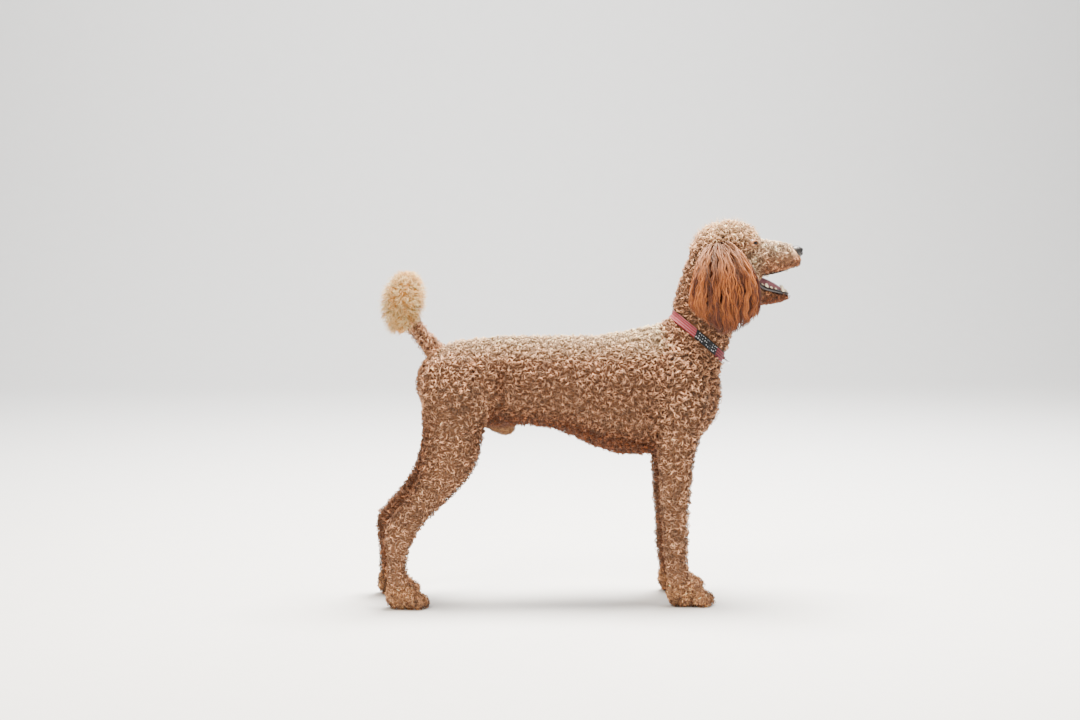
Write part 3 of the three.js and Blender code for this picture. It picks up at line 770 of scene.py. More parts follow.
def striped_webbing():
    """Woven polyester webbing: stripes along it at the nape and the throat, and small pale dots between.

    Threads are drawn 1.4 mm apart, coarser than the real 0.6 mm, so that the weave shows.
    """
    settings = bpy.context.scene.poodle_collar
    material, tree, shader = new_material("woven_polyester_webbing", Roughness=0.7, Specular_IOR_Level=0.3)
    strip = node(tree, "ShaderNodeUVMap", uv_map="webbing").outputs["UV"]
    along, across = node(tree, "ShaderNodeSeparateXYZ", {"Vector": strip}).outputs[:2]

    def calculate(operation, *values):
        return node(tree, "ShaderNodeMath", dict(enumerate(values)), operation=operation).outputs[0]

    def wave(value, pitch_mm):
        return calculate("SINE", calculate("MULTIPLY", value, 2 * math.pi / (pitch_mm * MM)))

    ground, stripe = (*settings.ground, 1), (*settings.stripe, 1)
    away = calculate("ABSOLUTE", along)
    pink, white = rgba("#8F5257"), rgba("#E6ECF2")
    between = colour_mix(tree, calculate("GREATER_THAN", away, DOTS_TO), pink, ground)
    striped = colour_mix(tree, calculate("GREATER_THAN", wave(across, STRIPE_PITCH), 0.0), between, stripe)
    per_dot = (1 / (DOT_PITCH * MM),) * 3
    scaled = node(tree, "ShaderNodeVectorMath", {0: strip, 1: per_dot}, operation="MULTIPLY").outputs[0]
    cells = node(tree, "ShaderNodeTexVoronoi", {"Vector": scaled, "Scale": 1.0, "Randomness": 0.2})
    in_dot = calculate("LESS_THAN", cells.outputs["Distance"], DOT_REACH)
    dotted = colour_mix(tree, in_dot, ground, white)
    past, short = calculate("GREATER_THAN", away, DOTS_FROM), calculate("LESS_THAN", away, DOTS_TO)
    pattern = colour_mix(tree, calculate("MULTIPLY", past, short), striped, dotted)
    weave = calculate("MULTIPLY", wave(across, THREAD_PITCH), wave(along, THREAD_PITCH))
    tree.links.new(shaded(tree, pattern, weave, 0.7, 1.1), shader.inputs["Base Color"])
    bumped(tree, shader, weave, 0.3)
    return material


# Skin


class Flesh:
    """What the skin leaves for the coat: its triangles, and where each one lies on which form."""


def form_cloud():
    """Points over every form, with its number, share of length, turn and coat depth, and the way along it."""
    points, facts, ways = [], [], []
    for index, (name, form) in enumerate(FORMS.items()):
        steps = np.linspace(0, 1, max(int(form_length(form) / 7), 8))
        share, turn = np.meshgrid(steps, circle(40), indexing="ij")
        ahead = surface(form, np.minimum(share + 0.02, 1), turn, furred=True)
        behind = surface(form, np.maximum(share - 0.02, 0), turn, furred=True)
        fur = spline(form, share.ravel())[:, 6]
        points.append(surface(form, share, turn, furred=True, power=form_power(name)).reshape(-1, 3))
        facts.append(np.stack([np.full(share.size, index), share.ravel(), turn.ravel(), fur], -1))
        ways.append(unit(ahead - behind).reshape(-1, 3))
    return np.vstack(points), np.vstack(facts), np.vstack(ways)


def nearest(points, cloud):
    tree = kdtree.KDTree(len(cloud))
    for i, point in enumerate(cloud):
        tree.insert(point, i)
    tree.balance()
    return np.array([tree.find(point)[1] for point in points])


def form_names(facts):
    return np.array(FORM_NAMES)[facts[:, 0].astype(int)]


def soft_push(points, centre, radius, move):
    """Moves points near a centre, most at the centre; all in millimetres."""
    away = np.linalg.norm(points - np.asarray(centre) * MM, axis=1) / (radius * MM)
    weight = np.clip(1 - away, 0, 1)
    return points + (weight * weight * (3 - 2 * weight))[:, None] * np.asarray(move) * MM


# Soft pushes on the left side, each a centre, a reach and a move; the right side gets their mirror images
FACE_FOLDS = (
    ((366, 40, 811), 17, (-3, -5, 0)),  # eye socket
    ((360, 36, 828), 18, (2, 3, 2)),  # brow
    ((352, 52, 785), 24, (0, 4, 0)),  # cheek
    ((395, 30, 800), 20, (0, -3, 0)),  # hollow before the eye
    ((445, 24, 762), 22, (0, 2.5, -1)),  # lip under the nose
)
FLANK_FOLD = [((-208, 84, z), 24, (0, -7, 0)) for z in range(432, 560, 16)]
ELBOW_FOLD = [((124, 104, z), 20, (0, -5, 0)) for z in range(384, 500, 16)]
STOP = ((384, 0, 826), 20, (0, 0, -4))
JAW_PLACES = (364, 392, 415, 435, 448)  # how far forward the heights and widths of the jaw are given


def sculpted(points):
    """The folds of the head, flank and elbow, and the hollows between lip and tooth."""
    for (x, y, z), radius, (ahead, aside, up) in (*FACE_FOLDS, *FLANK_FOLD, *ELBOW_FOLD):
        for side in (-1, 1):
            points = soft_push(points, (x, side * y, z), radius, (ahead, side * aside, up))
    points = soft_push(points, *STOP)
    x, y, z = (points / MM).T
    inside = np.clip((24 - np.abs(y)) / 6, 0, 1) * np.clip((x - 384) / 8, 0, 1)
    inside *= np.clip((462 - x) / 10, 0, 1)
    floor_of_muzzle = np.interp(x, [390, 412, 440, 462], [734, 739, 746, 756])
    points[:, 2] += inside * np.clip(1 - np.abs(z - floor_of_muzzle) / 9, 0, 1) * 8 * MM
    top_of_jaw = np.interp(x, JAW_PLACES, [732, 720, 710, 703, 699])
    inner = np.interp(x, JAW_PLACES, [20, 16, 13, 10, 5])
    trough = np.clip((inner - np.abs(y)) / 4, 0, 1) * np.clip(1 - np.abs(z - top_of_jaw) / 9, 0, 1)
    points[:, 2] -= trough * np.clip((x - 384) / 6, 0, 1) * np.clip((446 - x) / 5, 0, 1) * 7 * MM
    points[:, 2] = np.maximum(points[:, 2], 0.5 * MM)
    return points


def paw_toes(form, stance, back):
    """Balls for the four toes of a paw and their knuckles."""
    meshes = []
    for aside in TOES_ASIDE:
        x = form[-1][0] - 5 - TOE_ARC * aside**2 - back
        meshes.append(ball_mesh("toe", (x, stance + aside * 0.94, 14), TOE_RADII))
        meshes.append(ball_mesh("knuckle", (x - 16, stance + aside * 0.9, 23), KNUCKLE_RADII))
    return meshes


def survey(skin):
    """Keeps the skin's triangles and each one's place on its form."""
    corners = triangle_corners(skin.data)
    crossed = np.cross(corners[:, 1] - corners[:, 0], corners[:, 2] - corners[:, 0])
    Flesh.cloud, Flesh.cloud_facts, ways = form_cloud()
    found = nearest(corners.mean(1), Flesh.cloud)
    Flesh.triangles = corners
    Flesh.centres = corners.mean(1) / MM
    Flesh.areas = np.linalg.norm(crossed, axis=1) / 2
    Flesh.normals = unit(crossed)
    Flesh.facts = Flesh.cloud_facts[found]
    Flesh.ways = ways[found]


def region(*names):
    return np.isin(Flesh.facts[:, 0], [FORM_NAMES.index(name) for name in names])


def in_mouth(points):
    """Which points are inside the open mouth."""
    x, y, z = (points / MM).T
    roof = np.interp(x, [372, 390, 412, 440, 468], [741, 742, 745, 752, 762])
    floor = np.interp(x, JAW_PLACES, [720, 701, 696, 692, 690])
    aside = np.where(z > 726, 12.5, 27)
    return (z < roof) & (z > floor) & (x > 378) & (x < 472) & (np.abs(y) < aside)


def toe_gap(x, y, z):
    """How near each point is to the fold between two toes, from 0 to 1."""
    aside = np.abs(y) - np.where(x > 0, FRONT_STANCE, HIND_STANCE)
    fold = np.min([np.abs(aside - line) for line in TOE_FOLDS], axis=0)
    tip = np.where(x > 0, FRONT_PAW[-1][0], HIND_PAW[-1][0] - LEFT_HIND_BACK * (y > 0))
    return np.clip(1 - fold / 5.2, 0, 1) * np.clip((x - tip + 36) / 14, 0, 1) * (z < 46)


def rises(value, start, end):
    """0 up to the start, 1 from the end, and straight between."""
    return np.clip((value - start) / (end - start), 0, 1)


def hair_colour(points, names):
    """The coat's colour at points on named forms, with painted light and shade, before the draw that varies
    it from curl to curl.
    """
    scene = bpy.context.scene
    coat, face = scene.poodle_coat, scene.poodle_face
    x, y, z = (points / MM).T
    torso, head = names == "torso", np.isin(names, ["skull", "jaw"])
    hair = np.tile(np.array(coat.body), (len(points), 1))
    top = torso | np.char.startswith(names, "hind_leg")
    # Painted highlight: the top line of the torso and hind legs lighter, where light from above falls
    hair = blend(hair, coat.back, 0.8 * rises(z, 545, 612) * top * rises(-x, -215, -150))
    # Painted highlight: the top of the head lighter, where light from above falls
    hair = blend(hair, coat.crown, 0.8 * rises(z, 790, 845) * head)
    hair = blend(hair, face.muzzle, 0.6 * rises(x, 320, 350) * rises(-z, -800, -780) * head)
    leg = np.char.startswith(names, "front_") | np.char.startswith(names, "hind_")
    # Painted shade on the inner sides of the legs, where they face each other under the body
    inside = leg * rises(-abs(y), -94, -70) * rises(-z, -460, -400)
    # Painted shade: the torso darker below its middle; the neck is also made a little darker all over
    dimmed = np.maximum(0.28 * (names == "neck"), 0.26 * torso * rises(-z, -570, -500))
    hair = blend(hair, coat.belly_and_shade, np.maximum(0.75 * inside, dimmed))
    # Under the ribs the short hair is darker, and this is deepened as painted shade under the body
    underline = np.interp(x, [-230, -60, 20, 130, 200], [415, 400, 372, 350, 360])
    under = 0.95 * rises(-z, -underline - 48, -underline - 10) * torso * (abs(x + 22) < 213)
    hair = blend(hair, coat.belly_and_shade, under)
    # Painted shade in the crease before the thigh and behind the elbow, over the sculpted folds
    flank = np.exp(-(((x + 205) / 11) ** 2)) * rises(z, 425, 450) * rises(-z, -575, -520) * (abs(y) > 45)
    elbow = np.exp(-(((x - 122) / 8) ** 2)) * rises(z, 370, 390) * rises(-z, -520, -460) * (abs(y) > 45)
    hair = blend(hair, coat.belly_and_shade, 0.55 * flank + 0.35 * elbow)
    hair = blend(hair, linear(PASTERN), 0.6 * rises(-z, -70, -20))
    hair = blend(hair, linear(ABOVE_TOES), 0.5 * rises(-z, -60, -40) * rises(z, 14, 30))
    # Painted shade in the folds between the toes
    hair *= (1 - 0.85 * toe_gap(x, y, z))[:, None]
    front = rises(x, 364, 396) * head
    # Painted light on the muzzle: darker low on its sides, lighter on top where light from above falls
    hair = blend(hair, blend(linear(SIDE_OF_MUZZLE), np.array(face.muzzle), rises(z, 772, 808)), front)
    lip_line = np.interp(x, [372, 412, 440, 468], [742, 745, 752, 762])
    lip = rises(-z, -lip_line - 20, -lip_line) * (z > 735)
    lip = np.maximum(lip, rises(x, 452, 466) * rises(-z, -784, -770)) * front
    hair = blend(hair, linear(UPPER_LIP_HAIR), 0.65 * lip)
    hair = blend(hair, linear(CHIN_HAIR), 0.92 * rises(x, 372, 386) * rises(-z, -702, -686) * head)
    hair[np.char.startswith(names, "ear")] = scene.poodle_ears.deep
    hair[(names == "pompon") | ((names == "tail") & (z > 640))] = scene.poodle_pompon.deep
    tip, root = linear(SHEATH_TIP), linear(SHEATH_ROOT)
    mauve = np.outer(rises(z, 392, 408), root - tip) + tip
    return np.where((names == "sheath")[:, None], mauve, hair)


def skin_islands(mesh):
    """Unwraps the skin by form and by the side each face looks to, one island for each."""
    centres, normals = (np.empty(len(mesh.polygons) * 3, np.float32) for _ in range(2))
    mesh.polygons.foreach_get("center", centres)
    mesh.polygons.foreach_get("normal", normals)
    normals = normals.reshape(-1, 3)
    form = Flesh.cloud_facts[nearest(centres.reshape(-1, 3), Flesh.cloud), 0].astype(int)
    axis = np.abs(normals).argmax(1)
    island = form * 6 + axis * 2 + (np.take_along_axis(normals, axis[:, None], 1)[:, 0] > 0)
    totals = np.empty(len(mesh.polygons), np.int32)
    mesh.polygons.foreach_get("loop_total", totals)
    face = np.repeat(np.arange(len(totals)), totals)
    flat = np.array([[1, 2], [0, 2], [0, 1]])[axis[face]]
    place = np.take_along_axis(coordinates(mesh)[loop_vertices(mesh)], flat, 1)
    grid = math.ceil(math.sqrt(island.max() + 1))
    for c in np.unique(island):
        chosen = island[face] == c
        low, size = place[chosen].min(0), np.ptp(place[chosen], axis=0).max()
        place[chosen] = (np.array([c % grid, c // grid]) + 0.04 + 0.92 * (place[chosen] - low) / size) / grid
    map_uv(mesh, "OFBake", place)


class POODLE_OT_skin(bpy.types.Operator):
    """Builds the skin of the whole dog as one surface"""

    bl_idname = "poodle.skin"
    bl_label = "Skin"

    def execute(self, context):
        meshes = [loft_mesh(name, form, furred=True, power=form_power(name)) for name, form in FORMS.items()]
        for paw in PAWS:
            meshes += paw_toes(*paw)
        skin = remeshed(joined("poodle_skin", meshes), context.scene.poodle_coat.voxel, 5)
        reshape(skin.data, sculpted(coordinates(skin.data)))
        survey(skin)
        self.dress(skin, np.array(context.scene.poodle_coat.undercoat_and_shade))
        return {"FINISHED"}

    def dress(self, skin, undercoat_and_shade):
        points = coordinates(skin.data)
        facts = Flesh.cloud_facts[nearest(points, Flesh.cloud)]
        names = form_names(facts)
        long = np.char.startswith(names, "ear") | (names == "pompon")
        # Painted shade under the coat: the skin darker where the coat is deep, less under the ears and the
        # pompon
        coat_shade = 0.75 * np.clip(facts[:, 3] / 7, 0, 1) * np.where(long, 0.45, 1)
        tint = blend(hair_colour(points, names), undercoat_and_shade, coat_shade)
        paint(skin.data, blend(tint, linear(MOUTH_LINING), in_mouth(points).astype(float)))
        skin_islands(skin.data)
        finish_piece(skin, furred_skin(), "coat", *FLESH_NODES)


# Coat


def scattered(mask, spacing, rng):
    """Roots spread evenly over chosen triangles of the skin: points, ways out, ways along, and facts."""
    chosen = np.flatnonzero(mask)
    areas = Flesh.areas[chosen]
    count = int(areas.sum() / spacing**2 * 5)
    drawn = chosen[rng.choice(len(chosen), count, p=areas / areas.sum())]
    u, v = rng.random((2, count))
    over = u + v > 1
    u[over], v[over] = 1 - u[over], 1 - v[over]
    a, b, c = Flesh.triangles[drawn].transpose(1, 0, 2)
    points = a + u[:, None] * (b - a) + v[:, None] * (c - a)
    cells = np.floor(points / spacing + rng.random(3)).astype(np.int64)
    _, first = np.unique(cells, axis=0, return_index=True)
    first.sort()
    points, picked = points[first], drawn[first]
    keep = clear_of_collar(points) & ~in_mouth(points) & (points[:, 2] > 3 * MM)
    picked = picked[keep]
    return points[keep], Flesh.normals[picked], Flesh.ways[picked], Flesh.facts[picked]


def tubes(paths, wide, thick, out, profile):
    """Triangular tubes along paths, an array of shape tubes, steps, 3, that end in one point each."""
    count, steps, _ = paths.shape
    along = unit(np.gradient(paths, axis=1))
    side = unit(np.cross(along, out[:, None]))
    up = unit(np.cross(side, along))
    angles = math.pi * np.array([1 / 2, 7 / 6, 11 / 6])[None, None, :, None]
    size = profile[None, :, None, None] / 2
    across = side[:, :, None] * (np.cos(angles) * wide[:, None, None, None] * size)
    over = up[:, :, None] * (np.sin(angles) * thick[:, None, None, None] * size)
    rings = paths[:, :, None] + across + over
    each = (steps - 1) * 3 + 1
    points = np.concatenate([rings[:, :-1].reshape(count, -1, 3), paths[:, -1:]], axis=1).reshape(-1, 3)
    faces = [[0, 2, 1]]
    for a in range((steps - 2) * 3):
        b = a + 1 if a % 3 < 2 else a - 2
        faces += [[a, b, b + 3], [a, b + 3, a + 3]]
    last = (steps - 2) * 3
    faces += [[last + j, last + (j + 1) % 3, each - 1] for j in range(3)]
    return points, ((np.arange(count) * each)[:, None, None] + np.array(faces)[None]).reshape(-1, 3)


MOST_TRIANGLES = 190000  # in one piece of the coat
PATCH = 0.003  # side of a tuft's patch on the OFBake map


def tuft_pieces(name, paths, wide, flat, out, profile, colours, uv, material, slot="coat"):
    """Makes tufts into one or more pieces, each with its tint and its OFBake map.

    Colours hold one row for each step of each tuft. The map gives each tuft a patch at its root's own place.
    """
    count, steps, _ = paths.shape
    parts = math.ceil(count * ((steps - 2) * 6 + 4) / MOST_TRIANGLES)
    step = np.meshgrid(np.linspace(-0.5, 0.5, steps), np.linspace(-0.5, 0.5, 3), indexing="ij")
    step = np.vstack([np.stack(step, -1)[:-1].reshape(-1, 2), [[0.5, 0.0]]]) * PATCH
    order = np.argsort(uv[:, 0], kind="stable")
    for part, chosen in enumerate(np.array_split(order, parts)):
        label = f"{name}_{part + 1}" if parts > 1 else name
        points, corners = tubes(paths[chosen], wide[chosen], wide[chosen] * flat, out[chosen], profile)
        mesh = mesh_from(label, points, corners)
        tint = colours[chosen]
        rings = np.repeat(tint[:, :-1], 3, axis=1)
        paint(mesh, np.concatenate([rings, tint[:, -1:]], axis=1).reshape(-1, 3))
        local = uv[chosen].copy()
        local[:, 0] = (local[:, 0] - local[:, 0].min()) / max(np.ptp(local[:, 0]), 1e-6)
        patches = (0.01 + 0.98 * local)[:, None] + step[None]
        map_uv(mesh, "OFBake", patches.reshape(-1, 2)[loop_vertices(mesh)])
        finish_piece(linked(mesh, label), material, slot)


def clustered(points, spacing):
    """The middle of the clump that each point belongs to, the clump's number, and how many there are."""
    _, first = np.unique(np.floor(points / spacing).astype(np.int64), axis=0, return_index=True)
    middles = points[np.sort(first)]
    group = nearest(points, middles)
    return middles[group], group, len(middles)


def unwrapped(facts):
    """Each root's place on its form, unrolled from end to end and round, with forms side by side."""
    _, rank = np.unique(facts[:, 0], return_inverse=True)
    return np.stack([(rank + facts[:, 1]) / (rank.max() + 1), facts[:, 2] / (2 * math.pi)], -1)


def clear_of_collar(points):
    """Which points are outside the band that the collar covers."""
    row = np.asarray(NECK[COLLAR_AT])[:4] * MM
    low, high = row[:2], row[2:]
    down = unit((low - high)[None])[0]
    height = (points[:, [0, 2]] - (low + high) / 2) @ np.array([-down[1], down[0]])
    outside = np.abs(height) > COLLAR_BAND * MM
    return outside | (points[:, 2] < NECK_ABOVE) | (points[:, 0] < NECK_FROM)


def openness(points):
    """How much larger the curls grow: most on the shoulder, forearm and chest."""
    x, _, z = (points / MM).T
    return 1 + 0.25 * rises(x, 100, 180) * rises(z, 330, 410) * rises(-z, -640, -580)


CURL_STEPS = 6
CURL_PROFILE = np.array([0.75, 1.0, 1.0, 1.0, 0.85, 0.3])
SLIM_PROFILE = np.array([1, 1, 0.9, 0.8, 0.6, 0.2])


def curl_paths(points, out, way, radius, knot, combed, lift, stretch, rng):
    """Ringlets: short helices that lie on the skin, drawn together in domed clumps."""
    count = len(points)
    middles, group, groups = clustered(points, knot)
    is_combed = rng.random(groups) < combed
    along, anywhere = rng.normal(0, 0.45, groups), rng.uniform(0, 2 * math.pi, groups)
    heading = np.where(is_combed, along, anywhere)[group] + rng.normal(0, 0.6, count)
    side = unit(np.cross(out, way))
    forward = unit(np.cross(side, out))
    axis = forward * np.cos(heading)[:, None] + side * np.sin(heading)[:, None]
    # Curls lean to the middle of their clump, which stands higher than its edge
    lean = (middles - points) / knot
    edge = np.clip(np.linalg.norm(lean, axis=1) / 0.6, 0, 1)
    up = unit(out + 0.75 * lean)
    across = unit(np.cross(up, axis))
    axis = unit(np.cross(across, up))
    size = radius * rng.uniform(0.7, 1.2, count)
    turns = rng.uniform(0.95, 1.4, count)
    start = rng.uniform(-0.5, 0.5, count)
    t = np.linspace(0, 1, CURL_STEPS)[None, :]
    phase = start[:, None] + 2 * math.pi * turns[:, None] * t
    rise = 1 - np.cos(phase)
    sway = np.sin(phase) * rng.choice([-1, 1], count)[:, None]
    height = size * lift * (0.8 + 0.4 * rng.random(groups)[group]) * (1.1 - 0.45 * edge)
    paths = points[:, None] + (axis * size[:, None])[:, None] * ((t - 0.5) * 2.2 * stretch)[..., None]
    paths += (up * height[:, None])[:, None] * rise[..., None]
    paths += (across * size[:, None])[:, None] * sway[..., None]
    paths += (out * (radius * 0.3 * (1 - edge**2))[:, None])[:, None]
    paths[..., 2] = np.maximum(paths[..., 2], 1.2 * MM)
    # How much light each point of a curl is painted with: painted shade low at the root and at the edges of
    # clumps
    shade = np.clip(rise / 2, 0, 1) ** 0.8 * (1 - 0.42 * edge[:, None])
    return paths, shade, group, groups


def curl_colours(points, names, shade, group, groups, spread, rng):
    """Each curl's colour: dark at the root, partly the roots' colour and partly painted shade, with a painted
    highlight where it turns up.
    """
    under = np.array(bpy.context.scene.poodle_coat.undercoat_and_shade) * 0.6
    level = (1 + rng.normal(0, spread * 0.9, groups))[group] * (1 + rng.normal(0, spread, len(points)))
    warm = rng.normal(0, 0.035, len(points))
    channels = np.stack([1 + warm, np.ones_like(warm), 1 - warm], -1)
    hair = hair_colour(points, names) * level[:, None] * channels
    # Painted highlight where a curl turns up, painted shade down at its root
    lit = hair[:, None] * (0.82 + 0.42 * shade**2)[..., None]
    return blend(np.broadcast_to(under, lit.shape), lit, 0.06 + 0.94 * shade)


def curl_region(
    name, mask, material, seed,
    spacing=None, radius=None, width=None, knot=None, combed=0.0, lift=0.92, stretch=1.0, spread=0.16,
):
    """Covers one region of the skin with curls, sized as the coat's settings say unless a size is given."""
    coat = bpy.context.scene.poodle_coat
    rng = np.random.default_rng(coat.seed + seed)
    points, out, way, facts = scattered(mask, spacing or coat.curl_spacing, rng)
    keep = rng.random(len(points)) < 1 / openness(points) ** 1.2
    points, out, way, facts = points[keep], out[keep], way[keep], facts[keep]
    names = form_names(facts)
    open_up = openness(points)
    size = (radius or coat.curl_radius) * np.sqrt(np.clip(facts[:, 3], 2.5, 10) / 8) * open_up
    knot = knot or coat.knot_spacing
    paths, shade, group, groups = curl_paths(points, out, way, size, knot, combed, lift, stretch, rng)
    tints = curl_colours(points, names, shade, group, groups, spread, rng)
    wide = (width or coat.curl_width) * rng.uniform(0.75, 1.2, len(points)) * np.sqrt(open_up)
    tuft_pieces(name, paths, wide, 0.62, out, CURL_PROFILE, tints, unwrapped(facts), material)


def wisps(name, mask, material, seed, count, length_mm, droop=0.4, wide_mm=0.7):
    """Single fine wisps that stand off the coat and soften its edge."""
    rng = np.random.default_rng(bpy.context.scene.poodle_coat.seed + seed)
    points, out, way, facts = scattered(mask, 3.0 * MM, rng)
    chosen = rng.permutation(len(points))[:count]
    points, out, way, facts = points[chosen], out[chosen], way[chosen], facts[chosen]
    count = len(points)
    t = np.linspace(0, 1, CURL_STEPS)[None, :, None]
    side = unit(np.cross(out, way) + rng.normal(0, 0.5, (count, 3)))
    other = np.cross(out, side)
    reach = (np.clip(facts[:, 3], 3, 12) * 1.15 + rng.uniform(0, length_mm, count)) * MM
    lean = unit(out + way * droop + rng.normal(0, 0.35, (count, 3)))
    phase = rng.uniform(0, 6, count)[:, None, None] + t * rng.uniform(5, 9, count)[:, None, None]
    coil = rng.uniform(0.8, 2.2, count)[:, None, None] * MM
    paths = points[:, None] + lean[:, None] * reach[:, None, None] * t
    paths = paths + (side[:, None] * np.sin(phase) + other[:, None] * np.cos(phase)) * coil * t
    paths[..., 2] = np.maximum(paths[..., 2], 1.2 * MM)
    hair = hair_colour(points, form_names(facts)) * rng.uniform(0.85, 1.15, count)[:, None]
    wide = wide_mm * rng.uniform(0.7, 1.3, count) * MM
    # Painted shade: each wisp darker towards its root
    tints = hair[:, None] * (0.5 + 0.5 * t)
    tuft_pieces(name, paths, wide, 0.8, out, SLIM_PROFILE, tints, unwrapped(facts), material)


class POODLE_OT_curls(bpy.types.Operator):
    """Covers the body, legs and neck with ringlets"""

    bl_idname = "poodle.curls"
    bl_label = "Body curls"

    def execute(self, context):
        hair = poodle_hair("curly_poodle_hair")
        curl_region("torso_curls", region("torso"), hair, 1)
        curl_region("neck_curls", region("neck"), hair, 2, radius=3.6 * MM, combed=0.3)
        style = {"knot": 16 * MM, "combed": 0.4, "lift": 0.8, "spread": 0.24}
        for i, side in enumerate(SIDES):
            front, hind = (region(f"{leg}_{side}") for leg in ("front_leg", "hind_leg"))
            curl_region(f"front_leg_curls_{side}", front, hair, 3 + i, **style)
            curl_region(f"hind_leg_curls_{side}", hind, hair, 5 + i, radius=3.7 * MM, **style)
        paws = region(*on_both_sides("front_paw", "hind_paw"))
        paws &= toe_gap(*Flesh.centres.T) < 0.25
        curl_region(
            "paw_curls", paws, hair, 7, spacing=4.4 * MM, radius=4.2 * MM, width=2.1 * MM, knot=11 * MM,
            combed=0.6, stretch=1.3, spread=0.38,
        )
        curl_region(
            "tail_curls", region("tail"), hair, 8,
            spacing=3.4 * MM, radius=6.6 * MM, width=2 * MM, knot=8 * MM,
        )
        below = region("sheath") & (Flesh.centres[:, 2] < 402)
        curl_region(
            "sheath_hair", below, hair, 9,
            spacing=3.2 * MM, radius=3.2 * MM, width=1.4 * MM, knot=8 * MM,
        )
        wisps("body_wisps", region("torso", "neck"), hair, 30, 1500, 5)
        wisps("tail_wisps", region("tail"), hair, 34, 500, 12)
        wisps("leg_wisps", region(*on_both_sides("front_leg", "hind_leg")), hair, 31, 600, 2)
        return {"FINISHED"}


class POODLE_OT_head_coat(bpy.types.Operator):
    """Covers the head: curls on the topknot and cheeks, short waved hair on the muzzle and jaw"""

    bl_idname = "poodle.head_coat"
    bl_label = "Head coat"

    def execute(self, context):
        hair = poodle_hair("head_hair")
        x, y, z = Flesh.centres.T
        gap = np.array([EYE_AT[0], EYE_ASIDE, EYE_AT[1]]) + np.array(GAZE) * EYE_RADIUS
        from_eye = (np.stack([x, abs(y), z], -1) - gap) * (0.85, 0.85, 1.35)
        head = region("skull", "jaw") & (np.linalg.norm(from_eye, axis=1) > 7)
        pad = (x > 453) & (z > 777)
        curl_region(
            "head_curls", head & (x < MUZZLE_FROM), hair, 20,
            spacing=4.8 * MM, radius=4.2 * MM, width=2.5 * MM, knot=14 * MM, lift=1.05, spread=0.22,
        )
        curl_region(
            "muzzle_hair", head & (x >= MUZZLE_FROM) & ~pad, hair, 21, spacing=3.5 * MM, radius=5.0 * MM,
            width=1.7 * MM, knot=9 * MM, lift=0.6, stretch=2.4, combed=0.85, spread=0.34,
        )
        wisps("head_wisps", head & (z > 795) & (x < 372), hair, 32, 1500, 12)
        wisps("face_wisps", head & (x >= 340) & (z < 812) & ~pad, hair, 33, 500, 2, droop=-1.2)
        lip_line = np.interp(x, [372, 412, 440, 468], [740, 742, 749, 760])
        fringe = head & (x > 376) & (np.abs(z - lip_line - 4) < 8) & (np.abs(y) > 8)
        wisps("lip_fringe", fringe, hair, 35, 420, 3, droop=-0.9, wide_mm=1.1)
        return {"FINISHED"}


